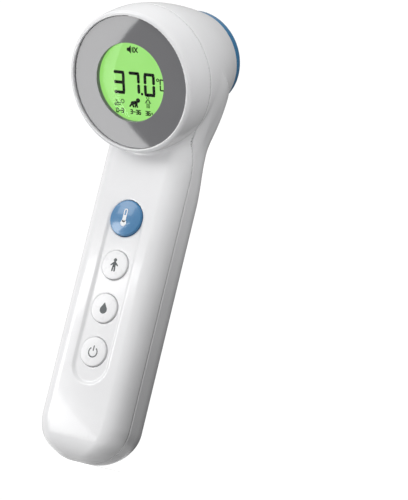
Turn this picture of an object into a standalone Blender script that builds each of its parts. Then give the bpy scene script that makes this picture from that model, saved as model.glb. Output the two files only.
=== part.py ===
"""No-touch forehead thermometer: an upright handle that carries a round display head, four push
buttons, two AAA cells and, at the back of the head, an infrared sensor inside a coloured ring.

Frame: metres, +Z runs up the handle, the display faces -Y and the sensor looks towards +Y.
Origin: the bottom centre of the bounding box. The outer form mirrors about the plane X = 0.
The head is built about its own axis, on the empty "head": its local Z is the sensor's line of
sight, measured from the display's face, and its local Y points down towards the handle.
"""

import math

import bmesh
import bpy
from mathutils import Vector

# ---- Driving dimensions -------------------------------------------------------------------------
HANDLE_FRONT_Y = 0.0
HANDLE_WIDTH = 0.0354
HANDLE_DEPTH = 0.0234
HANDLE_TOP = 0.1340          # where the handle ends, inside the head
FRONT_CORNER = 0.0070        # corner radii of the handle's section
REAR_CORNER = 0.0115
END_SIDE_RADIUS = 0.0145     # rounding of the lower end, seen from the front
END_FRONT_RADIUS = 0.0080    # rounding of the lower end, seen from the side
END_REAR_RADIUS = 0.0135
WAIST_DEPTH = 0.0032         # how far the back draws in under the head
WAIST_START = 0.0960
FRONT_WALL = 0.0018
REAR_WALL = 0.0015
FLOOR_TOP = 0.0021           # inner face of the handle's closed lower end
GAP = 0.0003                 # clearance between neighbouring pieces

HEAD_TILT = math.radians(29.5)     # the sensor axis points this far above the horizontal
HEAD_FORWARD = 0.0178              # display centre, in front of the handle's front face
HEAD_HEIGHT = 0.1298               # display centre, above the base
HEAD_LENGTH = 0.0430               # of the head's own form, from the display face along its axis
HEAD_END = 0.0418                  # where the contact ring takes over from the housing
HEAD_LIP = 0.0009                  # the rim stands this far in front of the display face
HEAD_RIM = 0.0249                  # the head's radius at the rim, at its widest and at the ring
HEAD_WIDEST = 0.0257
HEAD_TAIL = 0.0174
HEAD_BELLY = 0.0100                # where it is widest

DISPLAY_RING_RADIUS = 0.0230
DISPLAY_WINDOW_RADIUS = 0.0138
DISPLAY_RING_THICKNESS = 0.0016
LIP_ROUNDING = 0.0012
DISPLAY_SHELF = 0.0008             # thickness of the shelf that the ring is glued to
SHELF_OPENING = 0.0170
LENS_RADIUS = 0.0166
LENS_FRONT = 0.0019
LENS_BACK = 0.0027
PANEL_RADIUS = 0.0168
PANEL_FRONT = 0.0030
PANEL_BACK = 0.0046
HOLDER_RADIUS = 0.0226
GUIDE_HALF = 0.0116                # the light guide, above the panel's connector
GUIDE_FOOT = 0.0098
GUIDE_BACK = 0.0080
CONNECTOR_HALF = 0.0105
CONNECTOR_TOP = 0.0104
CONNECTOR_FOOT = 0.0122
DISPLAY_BOARD_RADIUS = 0.0215
DISPLAY_BOARD_FRONT = 0.0098
DISPLAY_BOARD_BACK = 0.0110
DISPLAY_SCREW_REACH = 0.0199       # from the head's axis
DISPLAY_SCREW_SHANK = 0.0050

RING_FRONT = 0.0400                # the contact ring's collar, inside the housing
RING_BACK = 0.0463                 # its flat rim, which touches the forehead
RING_INNER = 0.0136
RIM_INNER = 0.0142
RIM_OUTER = 0.0163
RIM_ROUNDING = 0.0006
COLLAR_RADIUS = 0.0154
RING_SHOULDER = ((0.0174, 0.0448), (0.0170, 0.0457))   # (radius, along) where its outside rounds over
CUP_FRONT = 0.0342                 # the funnel round the sensor's line of sight
CUP_THROAT = 0.0363
CUP_EDGE = 0.0438
CUP_BACK = 0.0452
CUP_EYE = 0.0050
CUP_WALL = 0.0012
CUP_LIP = 0.0009
SENSOR_BLOCK_FRONT = 0.0240
SENSOR_BLOCK_BACK = 0.0339
SENSOR_BLOCK_RADIUS = 0.0080
SENSOR_BORE = 0.0032
SENSOR_SEAT = 0.0270
SENSOR_SEAT_RADIUS = 0.0049
SENSOR_SCREW_REACH = 0.00645       # from the head's axis
SENSOR_SCREW_SHANK = 0.0055
CAN_FRONT = 0.0274                 # the thermopile's can and the flange round its foot
CAN_BACK = 0.0313
CAN_FLANGE = 0.0005
CAN_FLANGE_RADIUS = 0.0045
CAN_RADIUS = 0.0041
CAN_CHAMFER = 0.0003
CAN_WINDOW = 0.0018
CAN_WINDOW_FLOOR = 0.0304
PIN_RADIUS = 0.00022
PIN_REACH = 0.0020
FILTER_RADIUS = 0.0015
FILTER_THICKNESS = 0.0003
SENSOR_BOARD_FRONT = 0.0210
SENSOR_BOARD_BACK = 0.0220
SENSOR_BOARD_RADIUS = 0.0100

SEAM_Y = HANDLE_FRONT_Y + 0.0072   # parting line of the two housing shells, on the handle
HEAD_SEAM = 0.0116                 # and round the head, behind the display face
SEAM_BEND = 0.0062                 # it starts to bend this far before and after the corner
DOOR_TOP = 0.0700                  # the door is a panel in the lower back of the handle
DOOR_HALF = 0.0140
DOOR_FRONT = 0.0160                # its lower edge, behind the handle's front face
LATCH_HALF = 0.0050                # the door's latch tongue
LATCH_FRONT = 0.0196
LATCH_BACK = 0.0210
LATCH_REACH = 0.0030               # above the door's top edge, and its root below it
GRIP_COUNT = 5                     # ribs on the door
GRIP_BOTTOM = 0.0440
GRIP_PITCH = 0.0030
GRIP_HALF = 0.0075
GRIP_RADIUS = 0.0006

FLANGE_FRONT = 0.0022              # depths below are measured from the handle's front face
FLANGE_BACK = 0.0029
FLANGE_OVERLAP = 0.0011
PLUNGER_FRONT = 0.0032
PLUNGER_BACK = 0.0046
PLUNGER_RADIUS = 0.0015
SWITCH_FRONT = 0.0039
SWITCH_BACK = 0.0053
SWITCH_HALF = 0.0030
CAP_ROUNDING = 0.0006              # drawn in round the edge of a key's top
CAP_CHAMFER = 0.0005
CAP_CROWN = 0.2
RECESS_DEPTH = 0.0006
RECESS_HALF_WIDTH = 0.0078
RECESS_BOTTOM = 0.0340
RECESS_TOP = 0.0860
BUTTONS = {                        # name: (height, radius, how far the top stands proud)
    "measure": (0.0859, 0.0063, 0.0011),
    "age": (0.0690, 0.0050, 0.0002),
    "mode": (0.0535, 0.0050, 0.0002),
    "power": (0.0380, 0.0050, 0.0002),
}

CELL_RADIUS = 0.00525              # AAA cell
CELL_LENGTH = 0.0445
CELL_SHOULDER = 0.0005
CELL_X = 0.0060
CELL_DEPTH = 0.0142
NUB_RADIUS = 0.0019
NUB_LENGTH = 0.0008
PLATE = 0.0003                     # sheet thickness of the contacts
PLATE_REACH = 0.0045               # how far they reach past a cell's axis
TRAY_WALL = 0.0012
TRAY_HALF_WIDTH = 0.0132
TRAY_FRONT = 0.0072
TRAY_FLOOR = 0.0082
TRAY_RIM = 0.0160
BAY_BOTTOM = 0.0120                # the cells' bay, between the tray's end walls
SPRING_LENGTH = 0.0026
SPRING_TURNS = 3
SPRING_WIRE = 0.00025              # radius of the wire
SPRING_FOOT = 0.0034               # radius of the coil, at its foot and at its tip
SPRING_TIP = 0.0024

BOARD_FRONT = 0.0056
BOARD_BACK = 0.0066
BOARD_BOTTOM = 0.0280
BOARD_TOP = 0.1030
BOARD_HALF_WIDTH = 0.0130

CASE_SCREW_X = 0.0095
CASE_SCREW_Z = 0.0660
CASE_BOSS_RADIUS = 0.0026
CASE_BOSS_BACK = 0.0162
CASE_HOLE_FLOOR = 0.0060
TAB_FRONT = 0.0165
TAB_BACK = 0.0179
TAB_BOTTOM = 0.0634
WEB_BOTTOM = 0.0706                # the web joins the tab to the shell, above the door
WEB_TOP = 0.0736
TAB_INSET = REAR_WALL + 0.0006     # how far the tab's outline lies inside the handle's outside
BOARD_SCREW_X = 0.0095
BOARD_SCREW_Z = 0.0970
BOARD_BOSS_RADIUS = 0.0022
BOARD_SCREW_SHANK = 0.0040
CASE_SCREW_SHANK = 0.0110
SCREW_RADIUS = 0.0008
SCREW_POINT = 0.0008               # length of its tapered end
SCREW_HEAD_RADIUS = 0.0016
SCREW_HEAD_HEIGHT = 0.0011

CHIP_HEIGHT = 0.0012
CRYSTAL_HEIGHT = 0.0020
CAPACITOR_HEIGHT = 0.0054
CAPACITOR_RADIUS = 0.0020
CAPACITOR_X = -0.0088
CAPACITOR_Z = 0.0850
BUZZER_HEIGHT = 0.0028
BUZZER_RADIUS = 0.0046
BUZZER_HOLE = 0.0010
FLEX_WIDTH = 0.0040
FLEX_THICKNESS = 0.0002

PAST = 0.001                       # how far a cutter runs on past the face it cuts
FAR = 0.080                        # well outside the object
CORNER_STEPS = 5
HEAD_STEPS = 40


# ---- Small tools --------------------------------------------------------------------------------
def clear_scene():
    for item in list(bpy.data.objects):
        bpy.data.objects.remove(item, do_unlink=True)


def material(name, colour, roughness, metallic=0.0):
    made = bpy.data.materials.new(name)
    made.use_nodes = True
    shader = made.node_tree.nodes["Principled BSDF"]
    shader.inputs["Base Color"].default_value = (*colour, 1.0)
    shader.inputs["Roughness"].default_value = roughness
    shader.inputs["Metallic"].default_value = metallic
    made.diffuse_color = (*colour, 1.0)
    return made


def make_object(name, shape, finish, parent=None, location=(0, 0, 0), rotation=(0, 0, 0)):
    bmesh.ops.recalc_face_normals(shape, faces=shape.faces)
    mesh = bpy.data.meshes.new(name)
    shape.to_mesh(mesh)
    shape.free()
    if finish is not None:
        mesh.materials.append(finish)
    mesh.shade_smooth()
    mesh.set_sharp_from_angle(angle=math.radians(35))
    made = bpy.data.objects.new(name, mesh)
    bpy.context.collection.objects.link(made)
    made.parent = parent
    made.location = location
    made.rotation_euler = rotation
    return made


def turned(name, outline, finish, steps=24, **place):
    """A body of revolution about its own Z axis. The (radius, height) outline either starts and
    ends on the axis or is a closed ring."""
    shape = bmesh.new()
    points = [shape.verts.new((radius, 0.0, height)) for radius, height in outline]
    if outline[0][0] > 0.0:
        edges = [shape.edges.new(pair) for pair in zip(points, points[1:] + points[:1])]
    else:
        edges = [shape.edges.new(pair) for pair in zip(points, points[1:])]
    bmesh.ops.spin(shape, geom=points + edges, axis=(0, 0, 1), cent=(0, 0, 0),
                   angle=2 * math.pi, steps=steps, use_merge=True)
    bmesh.ops.remove_doubles(shape, verts=shape.verts, dist=1e-7)
    hubs = [vert for vert in shape.verts if math.hypot(vert.co.x, vert.co.y) < 1e-6 and is_flat(vert)]
    bmesh.ops.dissolve_verts(shape, verts=hubs)
    return make_object(name, shape, finish, **place)


def is_flat(vert):
    """True where all the faces around a point lie in one level plane."""
    heights = [corner.co.z for face in vert.link_faces for corner in face.verts]
    return max(heights) - min(heights) < 1e-7


def prism(name, outline, travel, finish, **place):
    """A flat outline (a list of 3-D points) drawn out along the vector travel."""
    shape = bmesh.new()
    face = shape.faces.new([shape.verts.new(point) for point in outline])
    grown = bmesh.ops.extrude_face_region(shape, geom=[face])
    moved = [item for item in grown["geom"] if isinstance(item, bmesh.types.BMVert)]
    bmesh.ops.translate(shape, vec=travel, verts=moved)
    return make_object(name, shape, finish, **place)


def block(name, low, high, finish, bevel=0.0, **place):
    """A box between two corners, with its edges rounded off by bevel."""
    shape = bmesh.new()
    bmesh.ops.create_cube(shape, size=1.0)
    low, high = Vector(low), Vector(high)
    bmesh.ops.scale(shape, vec=high - low, verts=shape.verts)
    bmesh.ops.translate(shape, vec=(low + high) / 2, verts=shape.verts)
    if bevel > 0.0:
        bmesh.ops.bevel(shape, geom=shape.edges, offset=bevel, segments=1, affect="EDGES")
    return make_object(name, shape, finish, **place)


def skin(rings):
    """A closed bmesh through a row of equal rings of points, with flat ends."""
    shape = bmesh.new()
    loops = [[shape.verts.new(point) for point in ring] for ring in rings]
    for lower, upper in zip(loops, loops[1:]):
        for index, corner in enumerate(lower):
            after = (index + 1) % len(lower)
            shape.faces.new((corner, lower[after], upper[after], upper[index]))
    shape.faces.new(loops[0][::-1])
    shape.faces.new(loops[-1])
    return shape


def boolean(target, tool, operation="DIFFERENCE"):
    """Cuts with, adds or keeps the inside of another object, which is then only a guide."""
    step = target.modifiers.new(tool.name, "BOOLEAN")
    step.operation = operation
    step.solver = "EXACT"
    step.object = tool
    tool.hide_render = True
    tool.display_type = "WIRE"


def settled(source, name):
    """A guide object with the finished mesh of source, in triangles for the cuts that follow."""
    bpy.context.view_layer.update()
    graph = bpy.context.evaluated_depsgraph_get()
    mesh = bpy.data.meshes.new_from_object(source.evaluated_get(graph))
    shape = bmesh.new()
    shape.from_mesh(mesh)
    bmesh.ops.triangulate(shape, faces=shape.faces)
    shape.to_mesh(mesh)
    shape.free()
    made = bpy.data.objects.new(name, mesh)
    bpy.context.collection.objects.link(made)
    for guide in (source, made):
        guide.hide_render = True
        guide.display_type = "WIRE"
    return made


def depth_y(depth):
    """The Y of a depth behind the handle's front face."""
    return HANDLE_FRONT_Y + depth


def copied(source, name, finish):
    mesh = source.data.copy()
    mesh.name = name
    mesh.materials.clear()
    mesh.materials.append(finish)
    made = bpy.data.objects.new(name, mesh)
    bpy.context.collection.objects.link(made)
    return made


# ---- The outer form -----------------------------------------------------------------------------
def end_inset(height, radius):
    """How far the rounded lower end lies inside the full section at this height."""
    if height >= radius:
        return 0.0
    return radius - math.sqrt(radius ** 2 - (radius - height) ** 2)


def waist(height):
    """How far the handle's back lies in front of its full depth, just under the head."""
    share = min(max((height - WAIST_START) / (HANDLE_TOP - WAIST_START), 0.0), 1.0)
    return WAIST_DEPTH * math.sin(math.pi * share) ** 2


def handle_section(height, inset):
    """The handle's outline at one height: a rectangle with round corners, drawn in by inset."""
    rise = height - inset
    half = HANDLE_WIDTH / 2 - inset - end_inset(rise, END_SIDE_RADIUS - inset)
    front = HANDLE_FRONT_Y + inset + end_inset(rise, END_FRONT_RADIUS - inset)
    back = (HANDLE_FRONT_Y + HANDLE_DEPTH - inset - end_inset(rise, END_REAR_RADIUS - inset)
            - waist(height))
    largest = min(half, (back - front) / 2) * 0.98
    front_radius = min(FRONT_CORNER - inset, largest)
    rear_radius = min(REAR_CORNER - inset, largest)
    corners = [
        (half - front_radius, front + front_radius, front_radius, -90),
        (half - rear_radius, back - rear_radius, rear_radius, 0),
        (rear_radius - half, back - rear_radius, rear_radius, 90),
        (front_radius - half, front + front_radius, front_radius, 180),
    ]
    outline = []
    for x, y, radius, start in corners:
        for step in range(CORNER_STEPS + 1):
            angle = math.radians(start + 90 * step / CORNER_STEPS)
            outline.append((x + radius * math.cos(angle), y + radius * math.sin(angle), height))
    return outline


def handle_form(name, inset, bottom, top, finish=None):
    """The solid handle between two heights, drawn in by inset all round."""
    end = END_SIDE_RADIUS
    heights = [inset + (end - inset) * (1 - math.cos(math.pi / 2 * step / 6)) for step in range(7)]
    heights += [WAIST_START, 0.104, 0.110, 0.116, 0.122, 0.128]
    inside = [height for height in heights if bottom < height < top]
    rings = [handle_section(height, inset) for height in [bottom] + inside + [top]]
    return make_object(name, skin(rings), finish)


def head_radius(along):
    """The head's outer radius at a distance behind the display face."""
    if along < HEAD_BELLY:
        return HEAD_WIDEST - (HEAD_WIDEST - HEAD_RIM) * (1 - along / HEAD_BELLY) ** 2
    share = (along - HEAD_BELLY) / (HEAD_LENGTH - HEAD_BELLY)
    return HEAD_WIDEST - (HEAD_WIDEST - HEAD_TAIL) * share ** 1.6


def head_outline(inset, front, back, steps=8):
    """Points down the head's side, from the front to the back."""
    distances = [front + (back - front) * step / steps for step in range(steps + 1)]
    return [(head_radius(along) - inset, along) for along in distances]


def head_outside(head):
    lip = [(0.0, -HEAD_LIP)]
    for step in range(3):
        angle = math.pi / 2 * step / 3
        lip.append((HEAD_RIM - LIP_ROUNDING * (1 - math.sin(angle)), -HEAD_LIP * math.cos(angle)))
    outline = lip + head_outline(0.0, 0.0002, HEAD_END, 9) + [(0.0, HEAD_END)]
    return turned("head_form", outline, None, steps=HEAD_STEPS, parent=head)


def head_hollow(head):
    start = DISPLAY_RING_THICKNESS + GAP + DISPLAY_SHELF
    end = HEAD_END + PAST
    outline = [(0.0, start)] + head_outline(FRONT_WALL, start, end, 6) + [(0.0, end)]
    return turned("head_hollow", outline, None, steps=HEAD_STEPS, parent=head)


def display_seat(head):
    depth = DISPLAY_RING_THICKNESS + GAP
    pocket = DISPLAY_RING_RADIUS + GAP
    front = -HEAD_LIP - PAST
    back = depth + DISPLAY_SHELF + PAST
    outline = [(0.0, front), (pocket, front), (pocket, depth), (SHELF_OPENING, depth),
               (SHELF_OPENING, back), (0.0, back)]
    return turned("display_seat", outline, None, steps=HEAD_STEPS, parent=head)


def button_recess():
    """A shallow round-ended trough in the front face, for the row of buttons."""
    radius = RECESS_HALF_WIDTH
    outline = []
    for centre, start in ((RECESS_TOP, 0), (RECESS_BOTTOM, 180)):
        for step in range(11):
            angle = math.radians(start + 180 * step / 10)
            outline.append((radius * math.cos(angle), depth_y(-PAST),
                            centre + radius * math.sin(angle)))
    return prism("button_recess", outline, (0, PAST + RECESS_DEPTH, 0), None)


def across(name, outline):
    """A wide prism across X from an outline of (y, z) points."""
    points = [(-FAR, y, z) for y, z in outline]
    return prism(name, points, (2 * FAR, 0, 0), None)


def seam_path(shift):
    """The parting line in side view, moved back by shift: up the handle, then round the head."""
    cosine, sine = math.cos(HEAD_TILT), math.sin(HEAD_TILT)
    reach = (SEAM_Y - HANDLE_FRONT_Y + HEAD_FORWARD) * cosine
    corner = Vector((SEAM_Y, HEAD_HEIGHT + (HEAD_SEAM - reach) / sine))
    up_head = Vector((-sine, cosine))
    start = corner - Vector((0.0, SEAM_BEND))
    end = corner + SEAM_BEND * up_head
    points = [(SEAM_Y + shift, -PAST)]
    steps = 6
    for step in range(steps + 1):
        share = step / steps
        place = start.lerp(corner, share).lerp(corner.lerp(end, share), share)
        slope = (corner - start).lerp(end - corner, share).normalized()
        points.append((place.x + shift * slope.y, place.y - shift * slope.x))
    past = end + FAR * up_head
    points.append((past.x + shift * up_head.y, past.y - shift * up_head.x))
    return points


def hollow_shell(head):
    """The whole outer skin in one piece, before it is parted into shells."""
    form = handle_form("handle_form", 0.0, 0.0, HANDLE_TOP)
    boolean(form, head_outside(head), "UNION")
    boolean(form, handle_form("handle_hollow", REAR_WALL, FLOOR_TOP, HANDLE_TOP - PAST))
    boolean(form, head_hollow(head))
    return settled(form, "shell")


def along_y(name, radius, front, back, x, z, steps=16, finish=None):
    """A cylinder along Y; front and back are depths behind the handle's front face."""
    outline = [(0.0, -back), (radius, -back), (radius, -front), (0.0, -front)]
    return turned(name, outline, finish, steps=steps, location=(x, HANDLE_FRONT_Y, z),
                  rotation=(math.pi / 2, 0.0, 0.0))


def build_front_housing(shell, head, white):
    zone = seam_path(-GAP / 2)
    zone += [(-FAR, zone[-1][1]), (-FAR, -PAST)]
    housing = copied(shell, "front_housing", white)
    boolean(housing, across("front_zone", zone), "INTERSECT")
    hole = SCREW_RADIUS + GAP
    for side in (-1, 1):
        case, board = side * CASE_SCREW_X, side * BOARD_SCREW_X
        boolean(housing, along_y(f"case_boss_{side}", CASE_BOSS_RADIUS, FRONT_WALL / 2,
                                 CASE_BOSS_BACK, case, CASE_SCREW_Z), "UNION")
        boolean(housing, along_y(f"board_boss_{side}", BOARD_BOSS_RADIUS, FRONT_WALL / 2,
                                 BOARD_FRONT - GAP, board, BOARD_SCREW_Z), "UNION")
        boolean(housing, along_y(f"case_hole_{side}", hole, CASE_HOLE_FLOOR,
                                 CASE_BOSS_BACK + PAST, case, CASE_SCREW_Z, steps=12))
        boolean(housing, along_y(f"board_hole_{side}", hole, FRONT_WALL, BOARD_FRONT,
                                 board, BOARD_SCREW_Z, steps=12))
    boolean(housing, display_seat(head))
    boolean(housing, button_recess())
    for name, (height, radius, proud) in BUTTONS.items():
        boolean(housing, along_y(f"{name}_hole", radius + GAP, -proud - PAST, FRONT_WALL + PAST,
                                 0.0, height, 28))


def door_zone(name, grow):
    """The block that holds the battery door, made larger by grow on its sides and its top."""
    return block(name, (-DOOR_HALF - grow, depth_y(DOOR_FRONT) - grow, -PAST),
                 (DOOR_HALF + grow, FAR, DOOR_TOP + grow), None)


def zone_box(name, front, back):
    """A box wider than the handle, between two depths behind its front face."""
    return block(name, (-FAR, depth_y(front), 0.0), (FAR, depth_y(back), HANDLE_TOP), None)


def build_rear_housing(shell, white):
    """The back of the handle and of the head, open where the door goes. A tab behind the door's
    top edge takes the two case screws."""
    zone = seam_path(GAP / 2)
    zone += [(FAR, zone[-1][1]), (FAR, -PAST)]
    housing = copied(shell, "rear_housing", white)
    boolean(housing, across("rear_zone", zone), "INTERSECT")
    boolean(housing, door_zone("door_opening", GAP / 2))
    web = handle_form("tab_web", REAR_WALL / 2, WEB_BOTTOM, WEB_TOP)
    boolean(web, zone_box("web_zone", TAB_FRONT, HANDLE_DEPTH), "INTERSECT")
    tab = handle_form("screw_tab", TAB_INSET, TAB_BOTTOM, WEB_BOTTOM + PAST)
    boolean(tab, zone_box("tab_zone", TAB_FRONT, TAB_BACK), "INTERSECT")
    boolean(housing, web, "UNION")
    boolean(housing, tab, "UNION")
    clear = 2 * GAP
    boolean(housing, block("latch_slot",
                           (-LATCH_HALF - clear, depth_y(LATCH_FRONT) - GAP, DOOR_TOP - PAST),
                           (LATCH_HALF + clear, depth_y(LATCH_BACK) + GAP,
                            DOOR_TOP + 2 * LATCH_REACH), None))
    for side in (-1, 1):
        boolean(housing, along_y(f"tab_hole_{side}", SCREW_RADIUS + GAP, TAB_FRONT - PAST,
                                 TAB_BACK + PAST, side * CASE_SCREW_X, CASE_SCREW_Z, steps=12))


def build_battery_door(shell, white):
    """The panel in the lower back. It slides down off the handle, and a latch tongue at its top
    goes behind the rear housing."""
    door = copied(shell, "battery_door", white)
    boolean(door, door_zone("door_block", -GAP / 2), "INTERSECT")
    boolean(door, block("latch_root",
                        (-LATCH_HALF, depth_y(LATCH_FRONT), DOOR_TOP - LATCH_REACH),
                        (LATCH_HALF, depth_y(HANDLE_DEPTH - REAR_WALL / 2), DOOR_TOP - GAP / 2),
                        None), "UNION")
    boolean(door, block("latch_tongue",
                        (-LATCH_HALF, depth_y(LATCH_FRONT), DOOR_TOP - 2 * LATCH_REACH / 3),
                        (LATCH_HALF, depth_y(LATCH_BACK), DOOR_TOP + LATCH_REACH), None), "UNION")
    for index in range(GRIP_COUNT):
        height = GRIP_BOTTOM + GRIP_PITCH * index
        rib = turned(f"grip_rib_{index}", capsule_outline(GRIP_HALF, GRIP_RADIUS), None, steps=12,
                     location=(0.0, depth_y(HANDLE_DEPTH), height),
                     rotation=(0.0, math.pi / 2, 0.0))
        boolean(door, rib, "UNION")


def capsule_outline(half, radius):
    """A round-ended bar about the axis, for turned()."""
    outline = []
    for centre, start in ((radius - half, -90), (half - radius, 0)):
        for step in range(4):
            angle = math.radians(start + 90 * step / 3)
            outline.append((max(radius * math.cos(angle), 0.0), centre + radius * math.sin(angle)))
    outline[0] = (0.0, -half)
    outline[-1] = (0.0, half)
    return outline


# ---- Buttons and switches -----------------------------------------------------------------------
def build_button(name, height, radius, proud, finish):
    """A domed cap with a flange behind the housing, the plunger it presses and the switch."""
    place = {"location": (0.0, HANDLE_FRONT_Y, height), "rotation": (math.pi / 2, 0.0, 0.0)}
    flange = radius + FLANGE_OVERLAP
    top = radius - CAP_ROUNDING
    crown = CAP_CROWN * (proud + RECESS_DEPTH)
    edge = proud - crown
    outline = [(0.0, -FLANGE_BACK), (flange, -FLANGE_BACK), (flange, -FLANGE_FRONT),
               (radius, -FLANGE_FRONT), (radius, edge - CAP_CHAMFER)]
    for share in (0.0, 1 / 3, 2 / 3, 1.0):
        outline.append((top * (1 - share), proud - crown * (1 - share) ** 2))
    turned(f"{name}_button", outline, finish, steps=28, **place)


def build_switch(name, height, black, steel):
    body = block(f"{name}_switch", (-SWITCH_HALF, depth_y(SWITCH_FRONT), height - SWITCH_HALF),
                 (SWITCH_HALF, depth_y(SWITCH_BACK), height + SWITCH_HALF), steel)
    boolean(body, along_y(f"{name}_well", PLUNGER_RADIUS + GAP, SWITCH_FRONT - PAST,
                          SWITCH_BACK + PAST, 0.0, height, steps=16))
    along_y(f"{name}_plunger", PLUNGER_RADIUS, PLUNGER_FRONT, PLUNGER_BACK, 0.0, height, 16, black)


# ---- Display stack, on the head's axis ----------------------------------------------------------
def ring(inner, outer, front, back, chamfer=0.0002):
    """The outline of a flat ring with its corners broken."""
    return [(inner, front + chamfer), (inner + chamfer, front), (outer - chamfer, front),
            (outer, front + chamfer), (outer, back), (inner, back)]


def disc(radius, front, back):
    return [(0.0, front), (radius, front), (radius, back), (0.0, back)]


def build_display(head, looks):
    turned("display_ring", ring(DISPLAY_WINDOW_RADIUS, DISPLAY_RING_RADIUS, 0.0,
                                DISPLAY_RING_THICKNESS), looks["grey"], HEAD_STEPS, parent=head)
    turned("display_lens", disc(LENS_RADIUS, LENS_FRONT, LENS_BACK), looks["clear"], 36, parent=head)
    turned("lcd_panel", disc(PANEL_RADIUS, PANEL_FRONT, PANEL_BACK), looks["lcd"], 36, parent=head)
    block("light_guide", (-GUIDE_HALF, -GUIDE_HALF, PANEL_BACK + GAP),
          (GUIDE_HALF, GUIDE_FOOT, GUIDE_BACK), looks["clear"], parent=head)
    block("lcd_connector", (-CONNECTOR_HALF, CONNECTOR_TOP, PANEL_BACK + GAP),
          (CONNECTOR_HALF, CONNECTOR_FOOT, DISPLAY_BOARD_FRONT - GAP), looks["rubber"], parent=head)

    holder_back = DISPLAY_BOARD_FRONT - GAP
    holder = turned("lcd_holder", ring(PANEL_RADIUS + GAP, HOLDER_RADIUS, PANEL_FRONT, holder_back),
                    looks["light"], HEAD_STEPS, parent=head)
    board = turned("display_board", disc(DISPLAY_BOARD_RADIUS, DISPLAY_BOARD_FRONT,
                                         DISPLAY_BOARD_BACK), looks["board"], 36, parent=head)
    reach = DISPLAY_SCREW_REACH
    for number, (x, y) in enumerate([(reach, 0.0), (-reach, 0.0), (0.0, -reach)], 1):
        place = {"parent": head, "location": (x, y, DISPLAY_BOARD_BACK + GAP)}
        screw(f"display_screw_{number}", DISPLAY_SCREW_SHANK, looks["steel"], **place)
        outline = disc(SCREW_RADIUS + GAP, -DISPLAY_SCREW_SHANK - 2 * GAP, SCREW_HEAD_HEIGHT)
        hole = turned(f"display_screw_hole_{number}", outline, None, 12, **place)
        boolean(holder, hole)
        boolean(board, hole)


def screw(name, shank, finish, **place):
    """A pan-head screw. It stands at the underside of its head and runs towards local -Z."""
    outline = [(0.0, -shank), (SCREW_RADIUS * 0.4, -shank), (SCREW_RADIUS, -shank + SCREW_POINT),
               (SCREW_RADIUS, 0.0), (SCREW_HEAD_RADIUS, 0.0),
               (SCREW_HEAD_RADIUS, SCREW_HEAD_HEIGHT * 0.6),
               (SCREW_HEAD_RADIUS * 0.7, SCREW_HEAD_HEIGHT), (0.0, SCREW_HEAD_HEIGHT)]
    return turned(name, outline, finish, 10, **place)


# ---- Sensor end, on the head's axis -------------------------------------------------------------
def build_sensor(head, looks):
    edge = HEAD_END + GAP
    ring_outline = [(RING_INNER, RING_FRONT), (COLLAR_RADIUS, RING_FRONT), (COLLAR_RADIUS, edge),
                    (head_radius(edge), edge), *RING_SHOULDER, (RIM_OUTER, RING_BACK),
                    (RIM_INNER, RING_BACK), (RING_INNER, RING_BACK - RIM_ROUNDING)]
    turned("contact_ring", ring_outline, looks["blue"], HEAD_STEPS, parent=head)

    mouth, foot = RING_INNER - GAP, CUP_EYE + CUP_WALL
    cup = [(mouth, CUP_BACK), (mouth - CUP_LIP, CUP_BACK), (CUP_EYE, CUP_THROAT),
           (CUP_EYE, CUP_FRONT), (foot, CUP_FRONT), (foot, CUP_FRONT + CUP_WALL), (mouth, CUP_EDGE)]
    turned("sensor_cup", cup, looks["light"], 36, parent=head)

    bore = [(SENSOR_BORE, SENSOR_BLOCK_FRONT), (SENSOR_BLOCK_RADIUS, SENSOR_BLOCK_FRONT),
            (SENSOR_BLOCK_RADIUS, SENSOR_BLOCK_BACK), (SENSOR_SEAT_RADIUS, SENSOR_BLOCK_BACK),
            (SENSOR_SEAT_RADIUS, SENSOR_SEAT), (SENSOR_BORE, SENSOR_SEAT)]
    body = turned("sensor_block", bore, looks["steel"], 32, parent=head)
    build_thermopile(head, looks["steel"])
    back = CAN_BACK - CAN_CHAMFER
    turned("infrared_filter", disc(FILTER_RADIUS, back - FILTER_THICKNESS, back), looks["dark"], 20,
           parent=head)

    board = turned("sensor_board", disc(SENSOR_BOARD_RADIUS, SENSOR_BOARD_FRONT, SENSOR_BOARD_BACK),
                   looks["board"], 32, parent=head)
    for number, side in enumerate((-1, 1), 1):
        place = {"parent": head, "rotation": (math.pi, 0.0, 0.0),
                 "location": (side * SENSOR_SCREW_REACH, 0.0, SENSOR_BOARD_FRONT - GAP)}
        screw(f"sensor_screw_{number}", SENSOR_SCREW_SHANK, looks["steel"], **place)
        outline = disc(SCREW_RADIUS + GAP, -SENSOR_SCREW_SHANK - 2 * GAP, PAST)
        hole = turned(f"sensor_screw_hole_{number}", outline, None, 12, **place)
        boolean(board, hole)
        boolean(body, hole)


def build_thermopile(head, steel):
    """The sensor's metal can, with a window in its end and four pins on the board."""
    wall = CAN_RADIUS - CAN_CHAMFER
    can = [(0.0, CAN_FRONT), (CAN_FLANGE_RADIUS, CAN_FRONT), (CAN_FLANGE_RADIUS, CAN_FRONT + CAN_FLANGE),
           (CAN_RADIUS, CAN_FRONT + CAN_FLANGE), (CAN_RADIUS, CAN_BACK - CAN_CHAMFER), (wall, CAN_BACK),
           (CAN_WINDOW, CAN_BACK), (CAN_WINDOW, CAN_WINDOW_FLOOR), (0.0, CAN_WINDOW_FLOOR)]
    sensor = turned("thermopile", can, steel, 24, parent=head)
    for index in range(4):
        angle = math.radians(45 + 90 * index)
        outline = disc(PIN_RADIUS, SENSOR_BOARD_BACK + GAP, CAN_FRONT + PIN_RADIUS)
        pin = turned(f"thermopile_pin_{index}", outline, None, 8, parent=head,
                     location=(PIN_REACH * math.cos(angle), PIN_REACH * math.sin(angle), 0.0))
        boolean(sensor, pin, "UNION")


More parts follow.
